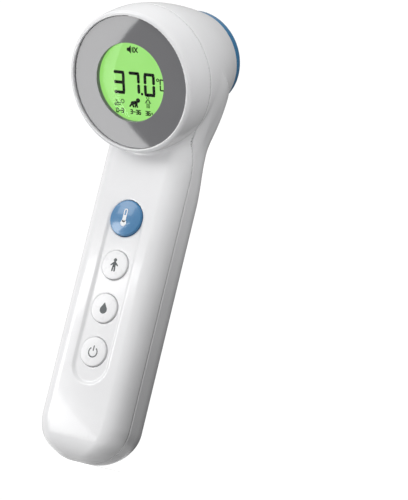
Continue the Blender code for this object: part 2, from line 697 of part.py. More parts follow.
# ---- Electronics in the handle ------------------------------------------------------------------
def build_board(looks):
    front, back = depth_y(BOARD_FRONT), depth_y(BOARD_BACK)
    board = block("main_board", (-BOARD_HALF_WIDTH, front, BOARD_BOTTOM),
                  (BOARD_HALF_WIDTH, back, BOARD_TOP), looks["board"])
    notch = CASE_BOSS_RADIUS + GAP
    for side in (-1, 1):
        near, far = sorted((side * (CASE_SCREW_X - notch), side * (BOARD_HALF_WIDTH + PAST)))
        boolean(board, block(f"boss_notch_{side}", (near, front - PAST, CASE_SCREW_Z - notch),
                             (far, back + PAST, CASE_SCREW_Z + notch), None))
        boolean(board, along_y(f"board_screw_hole_{side}", SCREW_RADIUS + GAP, BOARD_FRONT - PAST,
                               BOARD_BACK + PAST, side * BOARD_SCREW_X, BOARD_SCREW_Z, steps=12))

    depth, back = BOARD_BACK + GAP, back + GAP
    for name, low, high, height, finish, bevel in (
            ("controller_chip", (-0.0050, 0.0800), (0.0050, 0.0900), CHIP_HEIGHT, "dark", 0.0002),
            ("memory_chip", (0.0030, 0.0730), (0.0080, 0.0770), CHIP_HEIGHT, "dark", 0.0002),
            ("clock_crystal", (-0.0080, 0.0738), (-0.0020, 0.0760), CRYSTAL_HEIGHT, "steel", 0.0005)):
        block(name, (low[0], back, low[1]), (high[0], back + height, high[1]), looks[finish],
              bevel=bevel)
    along_y("power_capacitor", CAPACITOR_RADIUS, depth, depth + CAPACITOR_HEIGHT,
            CAPACITOR_X, CAPACITOR_Z, 20, looks["steel"])
    end = -depth - BUZZER_HEIGHT
    outline = [(0.0, end + BUZZER_HOLE), (BUZZER_HOLE, end + BUZZER_HOLE), (BUZZER_HOLE, end),
               (BUZZER_RADIUS, end), (BUZZER_RADIUS, -depth), (0.0, -depth)]
    turned("buzzer", outline, looks["dark"], 24, location=(0.0, HANDLE_FRONT_Y, BOARD_SCREW_Z),
           rotation=(math.pi / 2, 0.0, 0.0))
    for number, side in enumerate((-1, 1), 1):
        screw(f"board_screw_{number}", BOARD_SCREW_SHANK, looks["steel"],
              location=(side * BOARD_SCREW_X, back, BOARD_SCREW_Z), rotation=(-math.pi / 2, 0.0, 0.0))
        screw(f"case_screw_{number}", CASE_SCREW_SHANK, looks["steel"],
              location=(side * CASE_SCREW_X, depth_y(TAB_BACK) + GAP, CASE_SCREW_Z),
              rotation=(-math.pi / 2, 0.0, 0.0))


def strip(name, start, end, bend, centre_x, finish):
    """A flat flexible circuit, from (y, z) to (y, z), on a smooth curve between two bend points."""
    steps = 14
    (y0, z0), (y3, z3) = start, end
    (y1, z1), (y2, z2) = bend
    rings = []
    for step in range(steps + 1):
        t = step / steps
        weights = ((1 - t) ** 3, 3 * t * (1 - t) ** 2, 3 * t * t * (1 - t), t ** 3)
        slopes = (-3 * (1 - t) ** 2, 3 * (1 - t) * (1 - 3 * t), 3 * t * (2 - 3 * t), 3 * t * t)
        y = sum(w * v for w, v in zip(weights, (y0, y1, y2, y3)))
        z = sum(w * v for w, v in zip(weights, (z0, z1, z2, z3)))
        run = Vector((sum(w * v for w, v in zip(slopes, (y0, y1, y2, y3))),
                      sum(w * v for w, v in zip(slopes, (z0, z1, z2, z3))))).normalized()
        dy, dz = -run.y * FLEX_THICKNESS / 2, run.x * FLEX_THICKNESS / 2
        left, right = centre_x - FLEX_WIDTH / 2, centre_x + FLEX_WIDTH / 2
        rings.append([(left, y - dy, z - dz), (right, y - dy, z - dz),
                      (right, y + dy, z + dz), (left, y + dy, z + dz)])
    return make_object(name, skin(rings), finish)


def head_point(down, along):
    """The (y, z) place of a point on the head's middle plane, in the object's frame."""
    cosine, sine = math.cos(HEAD_TILT), math.sin(HEAD_TILT)
    return (HANDLE_FRONT_Y - HEAD_FORWARD + down * sine + along * cosine,
            HEAD_HEIGHT - down * cosine + along * sine)


def build_flexes(looks):
    board_end = (depth_y((BOARD_FRONT + BOARD_BACK) / 2), BOARD_TOP + GAP)
    start = head_point(0.0103, (SENSOR_BOARD_FRONT + SENSOR_BOARD_BACK) / 2)
    bend = (head_point(0.0190, 0.0215), (board_end[0] + 0.0010, BOARD_TOP + 0.0090))
    strip("sensor_flex", start, board_end, bend, 0.0050, looks["amber"])
    start = head_point(0.0218, (DISPLAY_BOARD_FRONT + DISPLAY_BOARD_BACK) / 2)
    bend = (head_point(0.0250, 0.0105), (board_end[0] - 0.0005, BOARD_TOP + 0.0060))
    strip("display_flex", start, board_end, bend, -0.0060, looks["amber"])


# ---- Batteries ----------------------------------------------------------------------------------
def bay_top():
    """Inner face of the tray's top wall: a cell, a spring and two contact plates fit below it."""
    return BAY_BOTTOM + CELL_LENGTH + 2 * PLATE + 4 * GAP + SPRING_LENGTH


def build_tray(light):
    tray = block("battery_tray", (-TRAY_HALF_WIDTH, depth_y(TRAY_FRONT), BAY_BOTTOM - TRAY_WALL),
                 (TRAY_HALF_WIDTH, depth_y(TRAY_RIM), bay_top() + TRAY_WALL), light)
    bay = block("tray_bay", (TRAY_WALL - TRAY_HALF_WIDTH, depth_y(TRAY_FLOOR), BAY_BOTTOM),
                (TRAY_HALF_WIDTH - TRAY_WALL, depth_y(TRAY_RIM + PAST), bay_top()), None)
    boolean(tray, bay)


def build_cells(looks):
    """Cell 1 stands with its positive end up and cell 2 with its positive end down."""
    lowest = BAY_BOTTOM + PLATE + 2 * GAP
    narrow, top = CELL_RADIUS - CELL_SHOULDER, CELL_LENGTH - NUB_LENGTH
    outline = [(0.0, 0.0), (narrow, 0.0), (CELL_RADIUS, CELL_SHOULDER),
               (CELL_RADIUS, top - CELL_SHOULDER), (narrow, top), (NUB_RADIUS, top),
               (NUB_RADIUS, CELL_LENGTH), (0.0, CELL_LENGTH)]
    y = depth_y(CELL_DEPTH)
    turned("battery_cell_1", outline, looks["dark"], 20,
           location=(-CELL_X, y, lowest + SPRING_LENGTH + GAP))
    turned("battery_cell_2", outline, looks["dark"], 20,
           location=(CELL_X, y, lowest + CELL_LENGTH), rotation=(math.pi, 0.0, 0.0))
    coil("cell_spring_1", (-CELL_X, y, lowest), looks["steel"])
    coil("cell_spring_2", (CELL_X, y, lowest + CELL_LENGTH + GAP), looks["steel"])

    plate_y = (depth_y(TRAY_FLOOR) + GAP, depth_y(TRAY_RIM))
    reach = CELL_X + PLATE_REACH
    block("bridge_plate", (-reach, plate_y[0], BAY_BOTTOM + GAP),
          (reach, plate_y[1], BAY_BOTTOM + GAP + PLATE), looks["steel"])
    top = bay_top() - GAP
    for name, side in (("positive_plate", -1), ("negative_plate", 1)):
        near, far = sorted((side * (CELL_X - CELL_RADIUS), side * reach))
        block(name, (near, plate_y[0], top - PLATE), (far, plate_y[1], top), looks["steel"])


def coil(name, base, finish):
    """A battery spring that narrows upwards, as a swept tube with flat ends."""
    steps, sides = 10 * SPRING_TURNS, 5
    rings = []
    for step in range(steps + 1):
        share = step / steps
        angle = 2 * math.pi * SPRING_TURNS * share
        radius = SPRING_FOOT + (SPRING_TIP - SPRING_FOOT) * share
        height = SPRING_WIRE + (SPRING_LENGTH - 2 * SPRING_WIRE) * share
        loop = []
        for side in range(sides):
            turn = 2 * math.pi * side / sides
            out = radius + SPRING_WIRE * math.cos(turn)
            loop.append((base[0] + out * math.cos(angle), base[1] + out * math.sin(angle),
                         base[2] + height + SPRING_WIRE * math.sin(turn)))
        rings.append(loop)
    return make_object(name, skin(rings), finish)


# ---- The whole object ---------------------------------------------------------------------------
def build():
    clear_scene()
    looks = {
        "white": material("white_shell", (0.86, 0.86, 0.87), 0.3),
        "light": material("light_plastic", (0.74, 0.75, 0.77), 0.45),
        "grey": material("display_ring_grey", (0.27, 0.27, 0.29), 0.1),
        "clear": material("clear_plastic", (0.80, 0.84, 0.84), 0.05),
        "lcd": material("lit_display", (0.38, 0.80, 0.25), 0.3),
        "blue": material("blue_plastic", (0.12, 0.30, 0.52), 0.3),
        "steel": material("plated_steel", (0.62, 0.62, 0.60), 0.3, 1.0),
        "board": material("circuit_board", (0.02, 0.16, 0.07), 0.5),
        "dark": material("dark_plastic", (0.03, 0.03, 0.035), 0.4),
        "rubber": material("grey_rubber", (0.20, 0.20, 0.21), 0.8),
        "amber": material("flexible_circuit", (0.52, 0.26, 0.05), 0.4),
    }
    head = bpy.data.objects.new("head", None)
    bpy.context.collection.objects.link(head)
    head.location = (0.0, HANDLE_FRONT_Y - HEAD_FORWARD, HEAD_HEIGHT)
    head.rotation_euler = (HEAD_TILT - math.pi / 2, 0.0, 0.0)

    shell = hollow_shell(head)
    build_front_housing(shell, head, looks["white"])
    build_rear_housing(shell, looks["white"])
    build_battery_door(shell, looks["white"])
    for name, (height, radius, proud) in BUTTONS.items():
        finish = looks["blue"] if name == "measure" else looks["white"]
        build_button(name, height, radius, proud, finish)
        build_switch(name, height, looks["dark"], looks["steel"])
    build_display(head, looks)
    build_sensor(head, looks)
    build_board(looks)
    build_flexes(looks)
    build_tray(looks["light"])
    build_cells(looks)
    bpy.data.objects.remove(shell, do_unlink=True)


build()
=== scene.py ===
"""The finished look of the no-touch forehead thermometer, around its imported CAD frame.

The CAD frame is in metres. The shapes below are worked out in millimetres and scaled as they are
made. The three housing shells are implicit solids: a function gives each point its rough distance
to the surface, negative inside, and contour() meshes it with its sharp edges kept. Turned parts,
printed symbols and springs are meshed directly.
"""
import math

import bmesh
import bpy
import numpy as np
from mathutils import Matrix, Vector


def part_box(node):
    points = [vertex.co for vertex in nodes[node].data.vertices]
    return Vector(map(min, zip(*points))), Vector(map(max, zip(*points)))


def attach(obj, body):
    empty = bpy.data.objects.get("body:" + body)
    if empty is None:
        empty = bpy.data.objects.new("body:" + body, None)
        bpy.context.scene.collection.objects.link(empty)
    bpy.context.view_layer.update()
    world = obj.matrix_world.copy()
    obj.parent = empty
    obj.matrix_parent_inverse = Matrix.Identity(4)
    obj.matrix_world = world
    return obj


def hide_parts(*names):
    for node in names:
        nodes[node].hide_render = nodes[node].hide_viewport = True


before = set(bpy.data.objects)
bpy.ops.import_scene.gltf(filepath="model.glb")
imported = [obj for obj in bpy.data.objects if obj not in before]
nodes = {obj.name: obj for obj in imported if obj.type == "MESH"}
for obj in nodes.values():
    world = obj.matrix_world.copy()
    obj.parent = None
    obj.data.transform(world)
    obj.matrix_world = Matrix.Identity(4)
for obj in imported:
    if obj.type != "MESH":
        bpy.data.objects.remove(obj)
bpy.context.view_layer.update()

MM = 0.001
CELL = 0.5      # the grid that the housings are meshed on, in millimetres

# ---- Dimensions shared with the CAD, in millimetres ---------------------------------------------
HANDLE_HALF = 17.7
HANDLE_DEPTH = 23.4
HANDLE_TOP = 134.0
FRONT_CORNER = 7.0
REAR_CORNER = 11.5
END_SIDE = 14.5                        # rounding of the lower end: side, front and rear
END_FRONT = 8.0
END_REAR = 13.5
WAIST = 3.2
WAIST_START = 96.0
HEAD_WALL = 1.8
HANDLE_WALL = 1.5
HEAD_TILT = math.radians(29.5)
HEAD_CENTRE = (0.0, -17.8, 129.8)
HEAD_LENGTH = 43.0                     # the form's own length, and where the blue ring takes over
HEAD_END = 41.8
HEAD_LIP = 0.9
HEAD_RIM = 24.9
HEAD_WIDEST = 25.7
HEAD_TAIL = 17.4
HEAD_BELLY = 10.0
RING_RADIUS = 23.0
WINDOW_RADIUS = 13.8
RING_FIT = 0.22                        # the display ring fills this much of the gap round it
RING_THICKNESS = 1.6
SHELF_BACK = 2.7
SEAM_Y = 7.2                           # the parting line, on the handle and round the head
HEAD_SEAM = 11.6
SEAM_GAP = 0.14
DOOR_TOP = 70.0                        # the door is a panel in the lower back
DOOR_HALF = 14.0
DOOR_FRONT = 16.0
KEYS = {"measure": (85.9, 6.3, 1.1), "age": (69.0, 5.0, 0.2), "mode": (53.5, 5.0, 0.2),
        "power": (38.0, 5.0, 0.2)}
KEY_GAP = 0.3
KEY_FIT = 0.14                         # the caps fill this much of the gap
PANEL_FACE = 3.0                       # the lit panel's face, behind the display's face
RECESS_DEPTH = 0.6                     # the trough round the keys
RECESS_HALF = 7.8
RECESS_SLOPE = 1.5
RECESS_LOW = 34.0
RECESS_HIGH = 100.0
RECESS_FADE = (80.0, 93.0)             # heights between which the trough fades out
SCREW_SIDE = 9.5                       # the screws stand this far to each side
SCREW_HOLE = 1.1
SCREW_HEIGHT = 66.0
BOSSES = ((SCREW_HEIGHT, 2.6, 16.2, 6.0), (97.0, 2.2, 5.3, 1.8))   # height, radius, back, hole's end
RIB_COUNT = 5                          # grip ribs on the door
RIB_LOW = 44.0
RIB_PITCH = 3.0
BATTERY_SIDE = 6.0                     # the two battery cells' axes and length
BATTERY_DEPTH = 14.2
BATTERY_LENGTH = 44.5
BATTERY_RADIUS = 5.25


# ---- Implicit solids ----------------------------------------------------------------------------
def round_and(a, b, radius):
    """What two solids share, with the edge where they meet rounded."""
    return (np.minimum(np.maximum(a, b), -radius)
            + np.hypot(np.maximum(a + radius, 0), np.maximum(b + radius, 0)))


def round_or(a, b, radius):
    """Two solids together, with a fillet where they meet."""
    return (np.maximum(np.minimum(a, b), radius)
            - np.hypot(np.maximum(radius - a, 0), np.maximum(radius - b, 0)))


def smooth(t):
    t = np.clip(t, 0, 1)
    return t * t * (3 - 2 * t)


def end_inset(rise, radius):
    drop = radius - np.clip(rise, 0, radius)
    return radius - np.sqrt(np.maximum(radius ** 2 - drop ** 2, 0))


def handle(x, y, z, inset=0.0):
    """The handle: a rectangle with round corners, closed by a rounded lower end."""
    rise = z - inset
    share = np.clip((z - WAIST_START) / (HANDLE_TOP - WAIST_START), 0, 1)
    half = HANDLE_HALF - inset - end_inset(rise, END_SIDE - inset)
    front = inset + end_inset(rise, END_FRONT - inset)
    back = (HANDLE_DEPTH - inset - end_inset(rise, END_REAR - inset)
            - WAIST * np.sin(math.pi * share) ** 2)
    middle, deep = (front + back) / 2, (back - front) / 2
    corner = np.where(y < middle, FRONT_CORNER - inset, REAR_CORNER - inset)
    corner = np.minimum(corner, 0.98 * np.minimum(half, deep))
    a = np.abs(x) - half + corner
    b = np.abs(y - middle) - deep + corner
    flat = np.minimum(np.maximum(a, b), 0) + np.hypot(np.maximum(a, 0), np.maximum(b, 0)) - corner
    return np.maximum(np.maximum(flat, -rise), z - HANDLE_TOP + inset)


def head_place(x, y, z):
    """Distance from the head's axis, and distance along it behind the display face."""
    dy, dz = y - HEAD_CENTRE[1], z - HEAD_CENTRE[2]
    down = dy * math.sin(HEAD_TILT) - dz * math.cos(HEAD_TILT)
    along = dy * math.cos(HEAD_TILT) + dz * math.sin(HEAD_TILT)
    return np.hypot(x, down), along


def head_radius(along):
    rise = (1 - np.minimum(along, HEAD_BELLY) / HEAD_BELLY) ** 2
    belly = HEAD_WIDEST - (HEAD_WIDEST - HEAD_RIM) * rise
    share = np.maximum(along - HEAD_BELLY, 0) / (HEAD_LENGTH - HEAD_BELLY)
    return belly - (HEAD_WIDEST - HEAD_TAIL) * share ** 1.6


def outside(x, y, z):
    """The whole outer form, with soft fillets where the head grows out of the handle."""
    radius, along = head_place(x, y, z)
    side = radius - head_radius(along)
    head = round_and(side, -HEAD_LIP - along, 1.3)
    head = round_and(head, along - HEAD_END, 0.3)
    fillet = 1.8 + 7.2 * smooth((along - 7.0) / 10.0) - 8.4 * smooth((along - 25.0) / 16.0)
    return round_or(head, handle(x, y, z), fillet)


def inside(x, y, z):
    radius, along = head_place(x, y, z)
    head = np.maximum(radius - head_radius(along) + HEAD_WALL, SHELF_BACK - along)
    return np.minimum(handle(x, y, z, HANDLE_WALL), head)


def seam(x, y, z):
    """Distance behind the parting line, which runs up the handle and then round the head."""
    _, along = head_place(x, y, z)
    return round_and(y - SEAM_Y, along - HEAD_SEAM, 3.0)


def rod(x, y, z, centre_x, centre_z, radius, front, back):
    """A cylinder along Y."""
    return np.maximum(np.hypot(x - centre_x, z - centre_z) - radius, np.maximum(front - y, y - back))


def brick(x, y, z, low, high):
    """A block with level sides, from one corner to the other."""
    sides = [np.maximum(low[k] - value, value - high[k]) for k, value in enumerate((x, y, z))]
    return np.maximum(np.maximum(sides[0], sides[1]), sides[2])


def recess_depth(x, z):
    """The shallow soft-edged trough round the keys. It fades out beside the large key."""
    reach = np.hypot(x, z - np.clip(z, RECESS_LOW, RECESS_HIGH)) - RECESS_HALF
    start, end = RECESS_FADE
    return RECESS_DEPTH * smooth(-reach / RECESS_SLOPE) * smooth((end - z) / (end - start))


def screw_boss(x, y, z, side, height, radius, back, hole):
    """A post behind the front face, with a hole for a screw."""
    post = rod(x, y, z, side * SCREW_SIDE, height, radius, 1.0, back)
    return np.maximum(post, -rod(x, y, z, side * SCREW_SIDE, height, SCREW_HOLE, hole, 20.0))


def front_shell(x, y, z):
    solid = np.maximum(outside(x, y, z), -inside(x, y, z))
    solid = round_and(solid, seam(x, y, z) + SEAM_GAP, 0.2)
    for side in (-1, 1):
        for boss in BOSSES:
            solid = np.minimum(solid, screw_boss(x, y, z, side, *boss))
    depth = recess_depth(x, z)
    solid = np.maximum(solid, np.where(depth > 0, depth - y, -99.0))
    for height, radius, _ in KEYS.values():
        solid = round_and(solid, -rod(x, y, z, 0.0, height, radius + KEY_GAP, -9.0, 4.0), 0.3)
    radius, along = head_place(x, y, z)
    pocket = np.maximum(radius - RING_RADIUS - 0.3, along - RING_THICKNESS - 0.3)
    solid = round_and(solid, -pocket, 0.3)
    opening = np.maximum(radius - 17.0, along - SHELF_BACK - 1.0)
    return np.maximum(solid, -opening)


def door_block(x, y, z):
    """The part of the lower back that the battery door takes up."""
    return np.maximum(np.maximum(np.abs(x) - DOOR_HALF, DOOR_FRONT - y), z - DOOR_TOP)


def rear_shell(x, y, z):
    solid = np.maximum(outside(x, y, z), -inside(x, y, z))
    solid = round_and(solid, SEAM_GAP - seam(x, y, z), 0.2)
    solid = round_and(solid, SEAM_GAP - door_block(x, y, z), 0.2)
    web = brick(x, y, z, (-40, 16.5, 70.6), (40, 30, 73.6))
    web = np.maximum(handle(x, y, z, HANDLE_WALL / 2), web)
    tab = brick(x, y, z, (-40, 16.5, 63.4), (40, 17.9, 71.6))
    tab = np.maximum(handle(x, y, z, HANDLE_WALL + 0.6), tab)
    solid = np.minimum(solid, np.minimum(web, tab))
    latch_slot = brick(x, y, z, (-5.6, 19.3, 69.0), (5.6, 21.3, 76.0))
    solid = np.maximum(solid, -latch_slot)
    for side in (-1, 1):
        hole = rod(x, y, z, side * SCREW_SIDE, SCREW_HEIGHT, SCREW_HOLE, 15.0, 19.0)
        solid = np.maximum(solid, -hole)
    return solid


def door_shell(x, y, z):
    solid = np.maximum(outside(x, y, z), -inside(x, y, z))
    solid = round_and(solid, door_block(x, y, z) + SEAM_GAP, 0.2)
    root = brick(x, y, z, (-5, 19.6, 67.0), (5, 22.65, 69.85))
    tongue = brick(x, y, z, (-5, 19.6, 68.0), (5, 21.0, 73.0))
    solid = np.minimum(solid, np.minimum(root, tongue))
    for index in range(RIB_COUNT):
        bar = np.hypot(np.maximum(np.abs(x) - 6.9, 0), z - RIB_LOW - RIB_PITCH * index)
        rib = np.hypot(bar, y - HANDLE_DEPTH) - 0.6
        solid = round_or(solid, rib, 0.25)
    return solid


# ---- Meshing an implicit solid ------------------------------------------------------------------
def gradient(field, points, step):
    """The outward direction of the field at each point, with length 1."""
    slope = np.empty_like(points)
    for axis in range(3):
        shift = np.zeros(3)
        shift[axis] = step
        slope[:, axis] = field(*(points + shift).T) - field(*(points - shift).T)
    return slope / np.maximum(np.linalg.norm(slope, axis=1, keepdims=True), 1e-9)


def crossings(field, axes, values, axis):
    """The grid edges along one axis that the surface crosses: their lower corners, the points where
    it crosses and whether the lower corner is inside."""
    lower = [slice(None)] * 3
    upper = [slice(None)] * 3
    lower[axis], upper[axis] = slice(None, -1), slice(1, None)
    start, end = values[tuple(lower)], values[tuple(upper)]
    corner = np.argwhere((start < 0) != (end < 0))
    first = start[tuple(corner.T)]
    origin = np.stack([axes[k][corner[:, k]] for k in range(3)], axis=1)
    near, far = np.zeros(len(corner)), np.full(len(corner), CELL)
    for _ in range(7):
        middle = (near + far) / 2
        point = origin.copy()
        point[:, axis] += middle
        same = (field(*point.T) < 0) == (first < 0)
        near, far = np.where(same, middle, near), np.where(same, far, middle)
    point = origin.copy()
    point[:, axis] += (near + far) / 2
    return corner, point, first < 0


def contour(name, field, low, high):
    """Dual contouring: one vertex in each grid cell that the surface passes through, put where the
    tangent planes in the cell meet, so that sharp edges stay sharp."""
    axes = [np.arange(low[k] - 1.37 * CELL, high[k] + 2.5 * CELL, CELL) for k in range(3)]
    values = field(axes[0][:, None, None], axes[1][None, :, None], axes[2][None, None, :])
    shape = [len(line) - 1 for line in axes]
    cells, points, normals, flipped = [], [], [], []
    for axis in range(3):
        corner, point, starts_inside = crossings(field, axes, values, axis)
        second, third = (axis + 1) % 3, (axis + 2) % 3
        for a, b in ((0, 0), (1, 0), (1, 1), (0, 1)):
            cell = corner.copy()
            cell[:, second] -= a
            cell[:, third] -= b
            cells.append(np.ravel_multi_index(tuple(cell.T), shape))
        points.append(point)
        normals.append(gradient(field, point, 0.01))
        flipped.append(~starts_inside)
    quads = np.concatenate([np.stack(cells[4 * k:4 * k + 4], axis=1) for k in range(3)])
    points, normals = np.concatenate(points), np.concatenate(normals)
    flipped = np.concatenate(flipped)
    used, quads_flat = np.unique(quads, return_inverse=True)
    quads = quads_flat.reshape(-1, 4)
    place = solve_cells(quads, points, normals, used, axes, shape)
    quads[flipped] = quads[flipped][:, ::-1]
    mesh = mesh_from(name, place * MM, quads)
    corner = place[quads]
    probe = 0.92 * corner + 0.08 * corner.mean(axis=1, keepdims=True)
    bend = gradient(field, probe.reshape(-1, 3), 0.01)
    mesh.normals_split_custom_set(bend.tolist())
    return linked(name, mesh)


def solve_cells(quads, points, normals, used, axes, shape):
    """The point in each cell that lies closest to all of its tangent planes."""
    owner = quads.ravel()
    point, normal = np.repeat(points, 4, axis=0), np.repeat(normals, 4, axis=0)

    def total(value):
        return np.bincount(owner, value, len(used))

    count = total(np.ones(len(owner)))
    mass = np.stack([total(point[:, k]) / count for k in range(3)], axis=1)
    offset = np.einsum("ij,ij->i", normal, point - mass[owner])
    matrix = np.empty((len(used), 3, 3))
    right = np.empty((len(used), 3))
    for a in range(3):
        right[:, a] = total(normal[:, a] * offset)
        for b in range(3):
            matrix[:, a, b] = total(normal[:, a] * normal[:, b])
    matrix += 0.02 * count[:, None, None] * np.eye(3)
    place = mass + np.linalg.solve(matrix, right[:, :, None])[:, :, 0]
    cell = np.stack(np.unravel_index(used, shape), axis=1)
    floor = np.stack([axes[k][cell[:, k]] for k in range(3)], axis=1)
    return np.clip(place, floor - 0.05 * CELL, floor + 1.05 * CELL)


def linked(name, data):
    """A new object in the scene."""
    made = bpy.data.objects.new(name, data)
    bpy.context.scene.collection.objects.link(made)
    return made


def mesh_from(name, vertices, quads):
    mesh = bpy.data.meshes.new(name)
    mesh.vertices.add(len(vertices))
    mesh.vertices.foreach_set("co", vertices.ravel())
    mesh.loops.add(quads.size)
    mesh.loops.foreach_set("vertex_index", quads.ravel())
    mesh.polygons.add(len(quads))
    mesh.polygons.foreach_set("loop_start", np.arange(len(quads)) * 4)
    mesh.polygons.foreach_set("use_smooth", np.ones(len(quads), bool))
    mesh.update(calc_edges=True)
    return mesh


# ---- Turned parts and plates --------------------------------------------------------------------
HEAD_FRAME = (Matrix.Translation(Vector(HEAD_CENTRE) * MM)
              @ Matrix.Rotation(HEAD_TILT - math.pi / 2, 4, "X"))
SHARP_ANGLE = math.radians(35)


def key_frame(height):
    """Local Z points out of the handle's front face and local Y up the handle."""
    return Matrix.Translation((0.0, 0.0, height * MM)) @ Matrix.Rotation(math.pi / 2, 4, "X")


def softened(corners, steps=4):
    """A closed outline from (x, y, rounding) corners, each rounded with a short arc. A point just
    outside each arc keeps the long faces beside it flat in the shading."""
    outline = []
    for index, (x, y, radius) in enumerate(corners):
        here = Vector((x, y))
        before = Vector(corners[index - 1][:2]) - here
        after = Vector(corners[(index + 1) % len(corners)][:2]) - here
        if radius <= 0 or before.length < 1e-6 or after.length < 1e-6:
            outline.append((x, y))
            continue
        half = before.angle(after) / 2
        reach = min(radius / math.tan(half), 0.49 * before.length, 0.49 * after.length)
        start, end = here + before.normalized() * reach, here + after.normalized() * reach
        if before.length > 3 * reach:
            outline.append(tuple(here + before.normalized() * reach * 1.4))
        for step in range(steps + 1):
            t = step / steps
            point = start * (1 - t) ** 2 + here * 2 * t * (1 - t) + end * t ** 2
            outline.append((point.x, point.y))
        if after.length > 3 * reach:
            outline.append(tuple(here + after.normalized() * reach * 1.4))
    return outline


def finished(name, shape, matrix):
    """Turns a bmesh in millimetres into an object in its place, smooth up to the sharp angle."""
    bmesh.ops.recalc_face_normals(shape, faces=shape.faces)
    mesh = bpy.data.meshes.new(name)
    shape.to_mesh(mesh)
    shape.free()
    mesh.transform(Matrix.Scale(MM, 4))
    mesh.transform(matrix)
    mesh.shade_smooth()
    mesh.set_sharp_from_angle(angle=SHARP_ANGLE)
    return linked(name, mesh)


def turned(name, outline, matrix, steps=96):
    """A body of revolution about local Z from (radius, height) points in millimetres. An outline
    that touches the axis starts and ends there; any other is a closed ring."""
    shape = bmesh.new()
    points = [shape.verts.new((max(radius, 0.0), 0.0, height)) for radius, height in outline]
    pairs = list(zip(points, points[1:]))
    if outline[0][0] > 0.0:
        pairs.append((points[-1], points[0]))
    edges = [shape.edges.new(pair) for pair in pairs]
    bmesh.ops.spin(shape, geom=points + edges, axis=(0, 0, 1), cent=(0, 0, 0),
                   angle=2 * math.pi, steps=steps, use_merge=True)
    bmesh.ops.remove_doubles(shape, verts=shape.verts, dist=1e-5)
    return finished(name, shape, matrix)


def prisms(name, outlines, low, high, matrix):
    """Thin solids, one for each flat outline, between two local heights."""
    shape = bmesh.new()
    for outline in outlines:
        below = [shape.verts.new((x, y, low)) for x, y in outline]
        above = [shape.verts.new((x, y, high)) for x, y in outline]
        shape.faces.new(below[::-1])
        shape.faces.new(above)
        for index in range(len(outline)):
            after = (index + 1) % len(outline)
            shape.faces.new((below[index], below[after], above[after], above[index]))
    return finished(name, shape, matrix)


def disc_outline(x, y, radius, steps=28):
    angles = [2 * math.pi * k / steps for k in range(steps)]
    return [(x + radius * math.cos(angle), y + radius * math.sin(angle)) for angle in angles]


def capsule(start, end, radius, steps=8):
    """A round-ended bar between two points."""
    a, b = Vector(start), Vector(end)
    heading = math.atan2(b.y - a.y, b.x - a.x)
    outline = []
    for centre, turn in ((b, -0.5), (a, 0.5)):
        for step in range(steps + 1):
            angle = heading + math.pi * (turn + step / steps)
            outline.append((centre.x + radius * math.cos(angle), centre.y + radius * math.sin(angle)))
    return outline


def band(outer, inner):
    """The ring between two outlines of equal length, as convex pieces."""
    count = len(outer)
    return [[outer[k], outer[(k + 1) % count], inner[(k + 1) % count], inner[k]] for k in range(count)]


def arc_band(x, y, radius, half_width, start, end, steps=24):
    """A bent bar round a centre, from one angle to another in degrees."""
    rows = []
    for step in range(steps + 1):
        angle = math.radians(start + (end - start) * step / steps)
        near, far = radius - half_width, radius + half_width
        rows.append(((x + near * math.cos(angle), y + near * math.sin(angle)),
                     (x + far * math.cos(angle), y + far * math.sin(angle))))
    return [[low[0], low[1], high[1], high[0]] for low, high in zip(rows, rows[1:])]


# ---- Materials ----------------------------------------------------------------------------------
FLOW_MARKS = 0.02                      # how far a plastic's colour wanders
FINE_GRAIN = 9000.0                    # lumps per metre
WEAR_GRAIN = 2500.0
GRAIN_HEIGHT = 0.00002
LCD_DIM = (0.29, 0.69, 0.145)
LCD_BRIGHT = (0.34, 0.76, 0.185)
LCD_UNLIT = (0.03, 0.07, 0.02, 1)


def start_material(name):
    made = bpy.data.materials.new(name)
    made.use_nodes = True
    tree = made.node_tree
    return made, tree, tree.nodes["Principled BSDF"]


def add(tree, kind, **values):
    node = tree.nodes.new(kind)
    for key, value in values.items():
        if hasattr(node, key):
            setattr(node, key, value)
        else:
            node.inputs[key.replace("_", " ")].default_value = value
    return node


def noise(tree, scale, detail=3.0):
    """A noise pattern fixed to the object; scale is in lumps per metre."""
    place = add(tree, "ShaderNodeTexCoord")
    made = add(tree, "ShaderNodeTexNoise", Scale=scale, Detail=detail)
    tree.links.new(place.outputs["Object"], made.inputs["Vector"])
    return made.outputs["Fac"]


def ramp(tree, factor, low, high, start=0.3, end=0.7):
    node = add(tree, "ShaderNodeValToRGB")
    node.color_ramp.elements[0].position = start
    node.color_ramp.elements[1].position = end
    node.color_ramp.elements[0].color = (*low, 1)
    node.color_ramp.elements[1].color = (*high, 1)
    tree.links.new(factor, node.inputs["Fac"])
    return node.outputs["Color"]


def span(tree, factor, low, high):
    node = add(tree, "ShaderNodeMapRange")
    node.inputs["To Min"].default_value = low
    node.inputs["To Max"].default_value = high
    tree.links.new(factor, node.inputs["Value"])
    return node.outputs["Result"]


def bump(tree, shader, height, strength, distance):
    node = add(tree, "ShaderNodeBump", Strength=strength, Distance=distance)
    tree.links.new(height, node.inputs["Height"])
    tree.links.new(node.outputs["Normal"], shader.inputs["Normal"])


